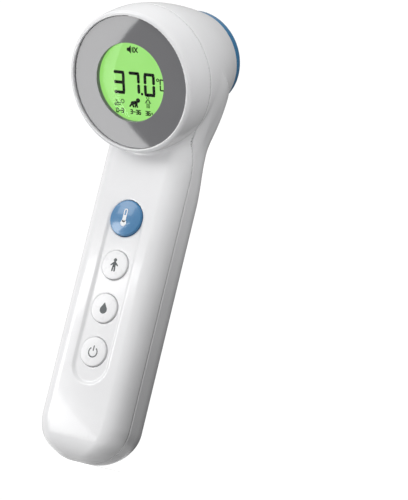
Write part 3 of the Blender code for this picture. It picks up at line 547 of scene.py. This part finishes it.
def plastic(name, colour, roughness, relief=0.04, coat=0.0, ior=1.5):
    """Moulded plastic: faint flow marks in its colour, uneven gloss and a very fine grain."""
    made, tree, shader = start_material(name)
    cloud = noise(tree, 60.0)
    low = tuple(c * (1 - FLOW_MARKS) for c in colour)
    high = tuple(min(c * (1 + FLOW_MARKS), 1.0) for c in colour)
    tree.links.new(ramp(tree, cloud, low, high), shader.inputs["Base Color"])
    tree.links.new(span(tree, noise(tree, 350.0), roughness * 0.85, roughness * 1.15),
                   shader.inputs["Roughness"])
    bump(tree, shader, noise(tree, FINE_GRAIN, 1.0), relief, GRAIN_HEIGHT)
    shader.inputs["Coat Weight"].default_value = coat
    shader.inputs["Coat Roughness"].default_value = 0.05
    shader.inputs["IOR"].default_value = ior
    return made


def metal(name, colour, roughness):
    """Plated or turned metal with fine wear."""
    made, tree, shader = start_material(name)
    wear = noise(tree, WEAR_GRAIN, 6.0)
    worn = tuple(c * 0.8 for c in colour)
    tree.links.new(ramp(tree, wear, worn, colour), shader.inputs["Base Color"])
    tree.links.new(span(tree, wear, roughness * 0.7, roughness * 1.4), shader.inputs["Roughness"])
    shader.inputs["Metallic"].default_value = 1.0
    bump(tree, shader, wear, 0.15, GRAIN_HEIGHT)
    return made


def compare(tree, value, operation, limit):
    """1 where the value is past the limit, 0 elsewhere."""
    node = add(tree, "ShaderNodeMath", operation=operation)
    node.inputs[1].default_value = limit
    tree.links.new(value, node.inputs[0])
    return node.outputs[0]


def circuit_board():
    """Green solder mask over copper tracks, with tinned spots."""
    made, tree, shader = start_material("circuit_board")
    place = add(tree, "ShaderNodeTexCoord")
    tracks = add(tree, "ShaderNodeTexVoronoi", Scale=420.0, distance="MANHATTAN", feature="F1")
    tree.links.new(place.outputs["Object"], tracks.inputs["Vector"])
    colour = ramp(tree, tracks.outputs["Distance"], (0.012, 0.10, 0.045), (0.03, 0.24, 0.10), 0.42, 0.47)
    spots = add(tree, "ShaderNodeTexVoronoi", Scale=650.0, Randomness=0.3)
    tree.links.new(place.outputs["Object"], spots.inputs["Vector"])
    mix = add(tree, "ShaderNodeMix", data_type="RGBA")
    tree.links.new(compare(tree, spots.outputs["Distance"], "LESS_THAN", 0.13), mix.inputs["Factor"])
    tree.links.new(colour, mix.inputs["A"])
    mix.inputs["B"].default_value = (0.75, 0.62, 0.32, 1)
    tree.links.new(mix.outputs["Result"], shader.inputs["Base Color"])
    shader.inputs["Roughness"].default_value = 0.35
    bump(tree, shader, tracks.outputs["Distance"], 0.3, 0.00005)
    return made


def lit_panel():
    """The backlit display: green, its brightness wandering slowly and unevenly across it."""
    made, tree, shader = start_material("lit_display")
    glow = ramp(tree, noise(tree, 45.0, 1.0), LCD_DIM, LCD_BRIGHT, 0.25, 0.75)
    tree.links.new(glow, shader.inputs["Emission Color"])
    shader.inputs["Base Color"].default_value = LCD_UNLIT
    shader.inputs["Emission Strength"].default_value = 1.0
    shader.inputs["Roughness"].default_value = 0.5
    bump(tree, shader, noise(tree, 6000.0, 1.0), 0.03, GRAIN_HEIGHT)
    return made


def clear_plastic(name, tint, roughness=0.0):
    made, tree, shader = start_material(name)
    clearest = tuple(min(c * 1.02, 1) for c in tint)
    tree.links.new(ramp(tree, noise(tree, 50.0), tint, clearest), shader.inputs["Base Color"])
    shader.inputs["Transmission Weight"].default_value = 1.0
    shader.inputs["Roughness"].default_value = roughness
    shader.inputs["IOR"].default_value = 1.2
    return made


def flexible_circuit():
    made, tree, shader = start_material("flexible_circuit")
    place = add(tree, "ShaderNodeTexCoord")
    lines = add(tree, "ShaderNodeTexWave", Scale=420.0, bands_direction="X")
    tree.links.new(place.outputs["Object"], lines.inputs["Vector"])
    tree.links.new(ramp(tree, lines.outputs["Fac"], (0.36, 0.15, 0.02), (0.62, 0.33, 0.08), 0.45, 0.55),
                   shader.inputs["Base Color"])
    tree.links.new(span(tree, lines.outputs["Fac"], 0.25, 0.4), shader.inputs["Roughness"])
    return made


def cell_jacket():
    """A printed metal-look cell sleeve: a dark body with a lighter band near its positive end."""
    made, tree, shader = start_material("cell_jacket")
    place = add(tree, "ShaderNodeTexCoord")
    split = add(tree, "ShaderNodeSeparateXYZ")
    tree.links.new(place.outputs["Object"], split.inputs[0])
    pick = add(tree, "ShaderNodeMix", data_type="FLOAT")
    tree.links.new(compare(tree, split.outputs["X"], "LESS_THAN", 0.0), pick.inputs["Factor"])
    tree.links.new(compare(tree, split.outputs["Z"], "LESS_THAN", 0.0270), pick.inputs["A"])
    tree.links.new(compare(tree, split.outputs["Z"], "GREATER_THAN", 0.0440), pick.inputs["B"])
    mix = add(tree, "ShaderNodeMix", data_type="RGBA")
    tree.links.new(pick.outputs["Result"], mix.inputs["Factor"])
    tree.links.new(ramp(tree, noise(tree, 800.0), (0.02, 0.022, 0.025), (0.03, 0.032, 0.036)),
                   mix.inputs["A"])
    mix.inputs["B"].default_value = (0.72, 0.52, 0.22, 1)
    tree.links.new(mix.outputs["Result"], shader.inputs["Base Color"])
    shader.inputs["Metallic"].default_value = 0.35
    tree.links.new(span(tree, noise(tree, 500.0), 0.2, 0.32), shader.inputs["Roughness"])
    return made


LOOKS = {
    "shell": plastic("white_shell", (0.84, 0.84, 0.85), 0.22, coat=0.25),
    "key": plastic("white_key", (0.84, 0.84, 0.85), 0.28),
    "blue_key": plastic("blue_key", (0.045, 0.20, 0.41), 0.22, coat=0.4),
    "blue_ring": plastic("blue_ring", (0.05, 0.19, 0.36), 0.18, coat=0.4),
    "grey": plastic("display_grey", (0.175, 0.175, 0.183), 0.05, relief=0.0),
    "light": plastic("light_plastic", (0.62, 0.63, 0.65), 0.42),
    "ink": plastic("display_ink", (0.004, 0.007, 0.004), 0.6, ior=1.1),
    "faint_ink": plastic("display_faint_ink", (0.03, 0.11, 0.02), 0.6, ior=1.1),
    "white_print": plastic("white_print", (0.88, 0.90, 0.92), 0.4),
    "grey_print": plastic("grey_print", (0.055, 0.065, 0.07), 0.45),
    "steel": metal("plated_steel", (0.72, 0.71, 0.69), 0.28),
    "sensor_metal": metal("sensor_metal", (0.66, 0.67, 0.69), 0.3),
    "board": circuit_board(),
    "dark": plastic("dark_part", (0.02, 0.02, 0.022), 0.38, relief=0.15),
    "rubber": plastic("dark_rubber", (0.05, 0.05, 0.055), 0.75, relief=0.2),
    "flex": flexible_circuit(),
    "clear": clear_plastic("clear_lens", (0.96, 0.98, 0.97)),
    "guide": clear_plastic("light_guide", (0.90, 0.95, 0.92), 0.25),
    "filter": plastic("filter_silicon", (0.03, 0.028, 0.04), 0.05, relief=0.0),
    "cell": cell_jacket(),
    "lcd": lit_panel(),
}


def dress(made, look, body, replaces=()):
    """Gives a new piece its material, the body it moves with and the CAD nodes it stands for."""
    made.data.materials.clear()
    made.data.materials.append(LOOKS[look])
    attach(made, body)
    if replaces:
        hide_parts(*replaces)
    return made


# ---- Camera -------------------------------------------------------------------------------------
def build_camera():
    camera = linked("camera", bpy.data.cameras.new("camera"))
    camera.data.lens = 122.4
    camera.data.clip_start = 0.01
    camera.data.clip_end = 20.0
    right = Vector((0.8492, 0.4746, 0.2314)).normalized()
    ahead = Vector((-0.5099, 0.8510, 0.1255)).normalized()
    up = right.cross(ahead)
    turn = Matrix((right, up, -ahead)).transposed().to_4x4()
    camera.matrix_world = Matrix.Translation((0.3271, -0.4895, 0.0070)) @ turn
    bpy.context.scene.camera = camera
    return camera


# ---- Pieces -------------------------------------------------------------------------------------
def build_housings():
    front = contour("front_shell", front_shell, (-25.9, -31.0, 0.0), (25.9, 29.5, 167.5))
    dress(front, "shell", "casing", ["front_housing"])
    rear = contour("rear_shell", rear_shell, (-25.9, -24.0, 0.0), (25.9, 29.5, 167.5))
    dress(rear, "shell", "casing", ["rear_housing"])
    door = contour("door_shell", door_shell, (-14.2, 15.5, 0.0), (14.2, 24.2, 73.5))
    dress(door, "shell", "door", ["battery_door"])


def dome(radius, proud, crown, edge):
    """A key's outline in local (radius, height), from the middle of its top to its flange."""
    outline = []
    for step in range(9):
        r = (radius - edge) * step / 8
        outline.append((r, proud - crown * (r / radius) ** 2))
    top = outline[-1][1]
    for step in range(1, 7):
        angle = math.pi / 2 * step / 6
        outline.append((radius - edge + edge * math.sin(angle), top - edge * (1 - math.cos(angle))))
    flange = radius + 1.1 - KEY_FIT
    outline += [(radius, -2.2), (flange, -2.2), (flange, -2.9), (0.0, -2.9)]
    return outline


def build_keys():
    for name, (height, radius, proud) in KEYS.items():
        large = name == "measure"
        crown, edge = (0.75, 0.60) if large else (0.10, 0.35)
        look, slot = ("blue_key", "blue_key") if large else ("key", "white_key")
        key = turned(f"{name}_cap", dome(radius + KEY_FIT, proud, crown, edge), key_frame(height))
        dress(key, look, f"{name}_key", [f"{name}_button"])
    symbols = {"measure": thermometer_symbol(), "age": person_symbol(), "mode": drop_symbol(),
               "power": power_symbol()}
    for name, outlines in symbols.items():
        height, _, proud = KEYS[name]
        sunk = 0.10 if name == "measure" else 0.04
        print_piece = prisms(f"{name}_symbol", outlines, proud - sunk - 0.05, proud + 0.02,
                             key_frame(height))
        dress(print_piece, "white_print" if name == "measure" else "grey_print", f"{name}_key")


def thermometer_symbol():
    tube = band(capsule((0, -1.0), (0, 2.45), 0.72), capsule((0, -1.0), (0, 2.45), 0.36))
    return tube + [disc_outline(0, -1.95, 1.15), capsule((0, -1.4), (0, 0.5), 0.40)]


def person_symbol():
    return [disc_outline(0, 1.72, 0.66), capsule((0, 0.62), (0, -0.30), 0.62),
            capsule((-0.35, 0.75), (-1.30, -0.10), 0.27), capsule((0.35, 0.75), (1.30, -0.10), 0.27),
            capsule((-0.32, -0.3), (-0.48, -2.05), 0.31), capsule((0.32, -0.3), (0.48, -2.05), 0.31)]


def drop_symbol():
    outline = [(0.0, 2.05)]
    for step in range(21):
        angle = math.radians(158 + 224 * step / 20)
        outline.append((1.45 * math.cos(angle), -0.55 + 1.45 * math.sin(angle)))
    return [outline]


def power_symbol():
    return arc_band(0, -0.2, 1.72, 0.22, 125, 415) + [capsule((0, 0.45), (0, 1.95), 0.22)]


SEGMENTS = {"a": ((0, 0), (1, 0)), "b": ((1, 0), (1, 0.5)), "c": ((1, 0.5), (1, 1)),
            "d": ((0, 1), (1, 1)), "e": ((0, 0.5), (0, 1)), "f": ((0, 0), (0, 0.5)),
            "g": ((0, 0.5), (1, 0.5))}
DIGITS = {"0": "abcdef", "3": "abcdg", "6": "acdefg", "7": "abc", "-": "g", "C": "adef"}


def segment_digit(mark, left, top, width, height, stroke):
    """A seven-segment figure. Level segments reach past the upright ones, as on a display."""
    outlines = []
    for letter in DIGITS[mark]:
        (x0, y0), (x1, y1) = SEGMENTS[letter]
        a = Vector((left + x0 * width, top + y0 * height))
        b = Vector((left + x1 * width, top + y1 * height))
        along = (b - a).normalized()
        cross = Vector((-along.y, along.x)) * stroke / 2
        reach = 0.45 if y0 == y1 else -0.08
        a, b = a - along * stroke * reach, b + along * stroke * reach
        near, far = a + along * stroke * 0.28, b - along * stroke * 0.28
        outlines.append([tuple(p) for p in (a, near + cross, far + cross, b, far - cross, near - cross)])
    return outlines


# Small persons: the head's centre and its radius or radii, then bars as (start, end, radius).
CRAWLING_CHILD = (((1.15, -0.75), (0.62,)), (
    ((0.55, -0.15), (-0.75, 0.1), 0.48), ((0.6, 0.0), (0.85, 1.05), 0.22), ((0.35, 0.0), (0.25, 1.05), 0.22),
    ((-0.8, 0.2), (-0.35, 1.05), 0.27), ((-0.85, 0.25), (-1.5, 1.0), 0.25)))
LYING_CHILD = (((1.2, -0.4), (0.6, 0.38)), (
    ((0.4, 0.1), (-1.3, 0.35), 0.13), ((0.5, 0.6), (-1.2, 0.8), 0.13), ((-0.4, 0.1), (-0.9, -0.6), 0.13),
    ((-1.3, 0.35), (-1.2, 0.8), 0.13)))
STANDING_CHILD = (((0, -1.6), (0.6, 0.38)), (
    ((-0.45, -0.7), (-1.1, 0.3), 0.13), ((0.45, -0.7), (1.1, 0.3), 0.13), ((-0.45, -0.6), (-0.5, 1.9), 0.13),
    ((0.45, -0.6), (0.5, 1.9), 0.13), ((-0.45, -0.75), (0.45, -0.75), 0.13), ((0, 0.6), (0, 1.9), 0.13)))


def child(x, y, size, head, bars):
    """A generic small person: a head, solid or hollow, and round-ended bars."""
    def at(spot):
        return (x + size * spot[0], y + size * spot[1])
    centre, radii = head
    discs = [disc_outline(*at(centre), radius * size) for radius in radii]
    outlines = band(*discs) if len(discs) == 2 else discs
    return outlines + [capsule(at(start), at(end), radius * size) for start, end, radius in bars]


def muted_speaker(x, y):
    """A loudspeaker with two sound bars and a cross."""
    back = [(x - 1.35, y - 0.55), (x - 0.7, y - 0.55), (x - 0.7, y + 0.55), (x - 1.35, y + 0.55)]
    cone = [(x - 0.7, y - 0.55), (x + 0.3, y - 1.4), (x + 0.3, y + 1.4), (x - 0.7, y + 0.55)]
    return [back, cone,
            capsule((x + 0.82, y - 0.7), (x + 0.82, y + 0.7), 0.15),
            capsule((x + 1.28, y - 0.9), (x + 1.28, y + 0.9), 0.15),
            capsule((x + 1.75, y - 0.8), (x + 2.95, y + 0.8), 0.2),
            capsule((x + 2.95, y - 0.8), (x + 1.75, y + 0.8), 0.2)]


def small_number(text, centre, top):
    """A label of small figures, spread about its centre."""
    width, pitch, height = 0.72, 1.12, 1.35
    left = centre - (len(text) * pitch - (pitch - width)) / 2
    outlines = []
    for index, mark in enumerate(text):
        x = left + index * pitch
        if mark == "+":
            outlines += [capsule((x, top + height / 2), (x + width, top + height / 2), 0.11),
                         capsule((x + width / 2, top + 0.3), (x + width / 2, top + 1.05), 0.11)]
        else:
            outlines += segment_digit(mark, x, top, width, height, 0.34)
    return outlines


def build_display():
    low, high = RING_THICKNESS, 0.0
    edge = RING_RADIUS + RING_FIT
    ring = softened([(WINDOW_RADIUS, low, 0), (WINDOW_RADIUS, high, 0.12), (edge, high, 0.12),
                     (edge, low, 0)])
    bezel = turned("display_bezel", ring, HEAD_FRAME, 160)
    dress(bezel, "grey", "casing", ["display_ring"])
    lens = [(0.0, 1.9), (16.45, 1.9), (16.6, 2.05), (16.6, 2.7), (0.0, 2.7)]
    window = turned("display_window", lens, HEAD_FRAME, 128)
    dress(window, "clear", "casing", ["display_lens"])
    panel = [(0.0, PANEL_FACE), (16.8, PANEL_FACE), (16.8, 4.6), (0.0, 4.6)]
    panel = turned("display_panel", panel, HEAD_FRAME, 96)
    dress(panel, "lcd", "casing", ["lcd_panel"])
    build_figures()


def build_figures():
    """The reading, the age labels and the symbols, printed just in front of the lit panel."""
    top, height, width, stroke = -2.65, 7.1, 3.5, 1.1
    figures = []
    for mark, left in (("3", -8.05), ("7", -1.8), ("0", 4.45)):
        figures += segment_digit(mark, left, top, width, height, stroke)
    figures.append(disc_outline(3.0, 4.35, 0.48))
    figures += band(disc_outline(9.65, -1.1, 0.58), disc_outline(9.65, -1.1, 0.26))
    figures += segment_digit("C", 10.65, -1.3, 1.15, 3.7, 0.46)
    figures += muted_speaker(-1.15, -10.9) + child(-0.3, 7.75, 1.3, *CRAWLING_CHILD)
    for text, centre in (("0-3", -6.6), ("3-36", 0.0), ("36+", 5.7)):
        figures += small_number(text, centre, 10.3)
    low, high = PANEL_FACE - 0.10, PANEL_FACE - 0.03
    dress(prisms("display_figures", figures, low, high, HEAD_FRAME), "ink", "casing")
    faint = child(-6.9, 8.1, 1.3, *LYING_CHILD) + child(5.3, 7.1, 1.0, *STANDING_CHILD)
    dress(prisms("display_faint_symbols", faint, low, high, HEAD_FRAME), "faint_ink", "casing")


def build_sensor_end():
    ring = softened([(13.6, 40.0, 0), (15.4, 40.0, 0), (15.4, 42.1, 0), (17.75, 42.1, 0.35),
                     (17.4, 44.8, 0.6), (16.5, 46.3, 0.5), (14.1, 46.3, 0.3), (13.6, 45.7, 0.2)])
    ring = turned("sensor_ring", ring, HEAD_FRAME, 160)
    dress(ring, "blue_ring", "casing", ["contact_ring"])
    cup = softened([(13.3, 45.2, 0.15), (12.4, 45.2, 0.3), (5.0, 36.3, 0.3), (5.0, 34.2, 0),
                    (6.2, 34.2, 0), (6.2, 35.4, 0.3), (13.3, 43.8, 0.3)])
    cup = turned("sensor_funnel", cup, HEAD_FRAME, 128)
    dress(cup, "light", "casing", ["sensor_cup"])


def screw(name, place):
    """A pan-head screw with a cross recess, standing at the underside of its head."""
    outline = [(0.0, -10.6), (0.25, -10.6), (0.8, -9.6), (0.8, 0.0), (1.6, 0.0), (1.6, 0.45)]
    outline += [(1.6 * math.cos(a), 0.45 + 0.65 * math.sin(a)) for a in (0.3, 0.6, 0.9, 1.2)]
    outline += [(0.0, 1.12)]
    made = turned(name, outline, place, 40)
    for index, turn in enumerate((0, math.pi / 2)):
        slot = prisms(f"{name}_slot_{index}", [capsule((-0.85, 0), (0.85, 0), 0.17)], 0.55, 1.6,
                      place @ Matrix.Rotation(turn, 4, "Z"))
        cut = made.modifiers.new("slot", "BOOLEAN")
        cut.operation, cut.solver, cut.object = "DIFFERENCE", "EXACT", slot
        bpy.context.view_layer.update()
        mesh = evaluated_mesh(made)
        made.modifiers.clear()
        made.data = mesh
        bpy.data.objects.remove(slot, do_unlink=True)
    return made


def evaluated_mesh(made):
    """An object's shape as a new mesh, with its modifiers applied."""
    graph = bpy.context.evaluated_depsgraph_get()
    return bpy.data.meshes.new_from_object(made.evaluated_get(graph))


def coil(name, x, base, length):
    """A battery spring that narrows upwards, with a closed turn at its foot."""
    wire, turns, steps = 0.25, 4.0, 110
    curve = bpy.data.curves.new(name, "CURVE")
    curve.dimensions = "3D"
    curve.bevel_depth = wire * MM
    curve.bevel_resolution = 3
    curve.use_fill_caps = True
    line = curve.splines.new("POLY")
    line.points.add(steps)
    for step in range(steps + 1):
        share = step / steps
        angle = 2 * math.pi * turns * share
        rise = wire + (length - 2 * wire) * max(share - 0.2, 0) / 0.8
        radius = 3.6 - 1.3 * share
        spot = Vector((x + radius * math.cos(angle), BATTERY_DEPTH + radius * math.sin(angle), base + rise))
        line.points[step].co = (*(spot * MM), 1)
    path = linked(name, curve)
    mesh = evaluated_mesh(path)
    bpy.data.objects.remove(path, do_unlink=True)
    mesh.shade_smooth()
    return linked(name, mesh)


def build_battery_bay():
    sleeve = softened([(4.6, 0.35, 0), (BATTERY_RADIUS, 0.35, 0.3), (BATTERY_RADIUS, 43.2, 0.35),
                       (4.4, 43.2, 0)])
    body = [(0.0, 0.0), (4.3, 0.0), (4.55, 0.3), (4.75, 0.5), (4.75, 43.0), (4.3, 43.3), (3.2, 43.45),
            (2.1, 43.55), (1.9, 43.8), (1.9, 44.3), (1.7, BATTERY_LENGTH), (0.0, BATTERY_LENGTH)]
    for number, x in ((1, -BATTERY_SIDE), (2, BATTERY_SIDE)):
        low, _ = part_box(f"battery_cell_{number}")
        place = Matrix.Translation((x * MM, BATTERY_DEPTH * MM, low.z))
        if number == 2:
            upside_down = Matrix.Rotation(math.pi, 4, "X")
            place = place @ Matrix.Translation((0, 0, BATTERY_LENGTH * MM)) @ upside_down
        core = turned(f"cell_core_{number}", body, place, 64)
        dress(core, "steel", "casing", [f"battery_cell_{number}"])
        dress(turned(f"cell_sleeve_{number}", sleeve, place, 64), "cell", "casing")
        low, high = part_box(f"cell_spring_{number}")
        spring = coil(f"cell_coil_{number}", x, low.z / MM, (high.z - low.z) / MM)
        dress(spring, "steel", "casing", [f"cell_spring_{number}"])
    for number in (1, 2):
        low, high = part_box(f"case_screw_{number}")
        place = Matrix.Translation(((low.x + high.x) / 2, 0.0182, (low.z + high.z) / 2))
        made = screw(f"case_fastener_{number}", place @ Matrix.Rotation(-math.pi / 2, 4, "X"))
        dress(made, "steel", "casing", [f"case_screw_{number}"])


CARRIED = {
    "board": ["main_board", "display_board", "sensor_board"],
    "dark": ["controller_chip", "memory_chip", "buzzer"],
    "rubber": ["lcd_connector"],
    "steel": ["clock_crystal", "power_capacitor", "bridge_plate", "positive_plate", "negative_plate",
              "display_screw_1", "display_screw_2", "display_screw_3", "sensor_screw_1", "sensor_screw_2",
              "board_screw_1", "board_screw_2"],
    "sensor_metal": ["sensor_block", "thermopile"],
    "light": ["lcd_holder", "battery_tray"],
    "guide": ["light_guide"],
    "filter": ["infrared_filter"],
    "flex": ["sensor_flex", "display_flex"],
}


def dress_carried():
    """Gives every CAD node that is still shown its finished material, and breaks the edges of the battery
    tray and the contact plates.
    """
    for look, names in CARRIED.items():
        for name in names:
            give(nodes[name], look)
    for name in KEYS:
        give(nodes[f"{name}_switch"], "steel")
        give(nodes[f"{name}_plunger"], "rubber")
    for name in ("battery_tray", "bridge_plate", "positive_plate", "negative_plate"):
        edge = nodes[name].modifiers.new("edges", "BEVEL")
        edge.width = 0.00025 if name == "battery_tray" else 0.00008
        edge.segments = 2
        edge.limit_method = "ANGLE"


def give(node, look):
    for index in range(len(node.data.materials)):
        node.data.materials[index] = LOOKS[look]
    if not node.data.materials:
        node.data.materials.append(LOOKS[look])


# ---- Studio -------------------------------------------------------------------------------------
CRESCENT_EDGE = -8.2                   # the light crescent's inner edge on the display's plane
CRESCENT_REACH = 5.9
CRESCENT_LEAN = 0.05
FLOOR_FADE = (0.030, 0.060)            # distances from the origin between which it fades out


def area_light(name, place, aim, size, power, glossy=True):
    light = bpy.data.lights.new(name, "AREA")
    light.shape = "RECTANGLE"
    light.size, light.size_y = size
    light.energy = power
    made = linked(name, light)
    made.location = place
    made.rotation_euler = (Vector(aim) - Vector(place)).to_track_quat("-Z", "Y").to_euler()
    made.visible_camera = False
    made.visible_glossy = glossy
    return made


def build_floor():
    """A level sheet of white paper under the base. It fades out a little way off, so that the door
    can be seen when it has slid down past it."""
    shape = bmesh.new()
    bmesh.ops.create_grid(shape, x_segments=2, y_segments=2, size=400.0)
    floor = finished("floor", shape, Matrix.Identity(4))
    made, tree, shader = start_material("floor_paper")
    paper = ramp(tree, noise(tree, 30.0), (0.84, 0.84, 0.84), (0.88, 0.88, 0.88))
    tree.links.new(paper, shader.inputs["Base Color"])
    tree.links.new(span(tree, noise(tree, 40.0), 0.7, 0.8), shader.inputs["Roughness"])
    shader.inputs["Specular IOR Level"].default_value = 0.1
    shader.inputs["Emission Color"].default_value = (1, 1, 1, 1)
    shader.inputs["Emission Strength"].default_value = 0.55
    place = add(tree, "ShaderNodeTexCoord")
    reach = add(tree, "ShaderNodeVectorMath", operation="LENGTH")
    tree.links.new(place.outputs["Object"], reach.inputs[0])
    fade = eased(tree, reach.outputs["Value"], FLOOR_FADE, (0.9, 0.0))
    tree.links.new(fade, shader.inputs["Alpha"])
    floor.data.materials.append(made)
    floor.visible_diffuse = False


def build_world():
    """A soft studio: bright from the left, the front and above, dim at +X and below. The camera
    itself sees plain white."""
    world = bpy.data.worlds.new("studio")
    world.use_nodes = True
    bpy.context.scene.world = world
    tree = world.node_tree
    sky = tree.nodes["Background"]
    place = add(tree, "ShaderNodeTexCoord")
    side = direction_level(tree, place, (-0.72, -0.62, 0.10), (-0.75, 0.80), (0.07, 1.02))
    height = direction_level(tree, place, (0.0, 0.0, 1.0), (-0.65, 0.25), (0.75, 1.0))
    both = add(tree, "ShaderNodeMath", operation="MULTIPLY")
    tree.links.new(side, both.inputs[0])
    tree.links.new(height, both.inputs[1])
    tree.links.new(both.outputs[0], sky.inputs["Strength"])
    sky.inputs["Color"].default_value = (1, 1, 1, 1)
    plain = add(tree, "ShaderNodeBackground")
    plain.inputs["Color"].default_value = (1, 1, 1, 1)
    plain.inputs["Strength"].default_value = 1.05
    seen = add(tree, "ShaderNodeLightPath")
    mix = add(tree, "ShaderNodeMixShader")
    tree.links.new(seen.outputs["Is Camera Ray"], mix.inputs["Fac"])
    tree.links.new(sky.outputs["Background"], mix.inputs[1])
    tree.links.new(plain.outputs["Background"], mix.inputs[2])
    tree.links.new(mix.outputs["Shader"], tree.nodes["World Output"].inputs["Surface"])


def direction_level(tree, place, heading, reach, levels):
    """A light level that changes smoothly with how far a direction points along the heading."""
    aim = add(tree, "ShaderNodeVectorMath", operation="DOT_PRODUCT")
    aim.inputs[1].default_value = Vector(heading).normalized()
    tree.links.new(place.outputs["Generated"], aim.inputs[0])
    return eased(tree, aim.outputs["Value"], reach, levels)


def eased(tree, value, reach, levels):
    """A smooth step from one level to the other, as the value goes from one end of its reach to
    the other."""
    node = add(tree, "ShaderNodeMapRange", interpolation_type="SMOOTHSTEP")
    node.inputs["From Min"].default_value, node.inputs["From Max"].default_value = reach
    node.inputs["To Min"].default_value, node.inputs["To Max"].default_value = levels
    tree.links.new(value, node.inputs["Value"])
    return node.outputs["Result"]


def build_lights():
    """A large soft light from the front left, and three dim ones that shape the top and the side."""
    area_light("key_light", (-0.8, -1.1, 0.7), (0, 0, 0.09), (0.7, 0.7), 5.0)
    area_light("top_light", (0.0, 0.0, 0.7), (0, 0, 0.12), (0.4, 0.4), 0.55, glossy=False)
    area_light("side_light", (0.26, -0.05, 0.33), (0, 0.01, 0.13), (0.22, 0.22), 0.32, glossy=False)
    head_light = area_light("head_light", (0.30, -0.06, 0.10), (0.01, 0.01, 0.147), (0.10, 0.10), 0.013,
                            glossy=False)
    head_light.data.spread = math.radians(36)


def build_reflector(camera):
    """A bright card low in front, seen only in reflections. It puts the crescent of light on the
    display's glossy ring."""
    centre = Vector(HEAD_CENTRE) * MM
    normal = Vector((0.0, -math.cos(HEAD_TILT), -math.sin(HEAD_TILT)))
    eye = camera.matrix_world.translation
    mirrored = eye - 2 * (eye - centre).dot(normal) * normal
    across = Vector((1, 0, 0))
    down = Vector((0.0, math.sin(HEAD_TILT), -math.cos(HEAD_TILT)))
    rows = []
    for step in range(33):
        v = -36 + 72 * step / 32
        rows.append((CRESCENT_EDGE + (v / CRESCENT_REACH) ** 2 + CRESCENT_LEAN * v, v))
    shape = bmesh.new()
    pairs = []
    for edge, v in rows:
        for u in (edge, -60.0):
            spot = centre + (across * u + down * v) * MM
            pairs.append(shape.verts.new((mirrored + (spot - mirrored) * 1.24) / MM))
    for index in range(len(rows) - 1):
        a, b, c, d = pairs[2 * index:2 * index + 4]
        shape.faces.new((a, b, d, c))
    card = finished("reflector", shape, Matrix.Identity(4))
    made, tree, shader = start_material("reflector_glow")
    shader.inputs["Base Color"].default_value = (0, 0, 0, 1)
    shader.inputs["Emission Color"].default_value = (1, 1, 1, 1)
    shader.inputs["Emission Strength"].default_value = 7.6
    card.data.materials.append(made)
    for ray in ("camera", "diffuse", "transmission", "volume_scatter", "shadow"):
        setattr(card, f"visible_{ray}", False)


# ---- The scene ----------------------------------------------------------------------------------
bpy.context.scene.view_settings.view_transform = "Standard"
the_camera = build_camera()
build_housings()
build_keys()
build_display()
build_sensor_end()
build_battery_bay()
dress_carried()
build_floor()
build_world()
build_lights()
build_reflector(the_camera)

bpy.context.view_layer.update()
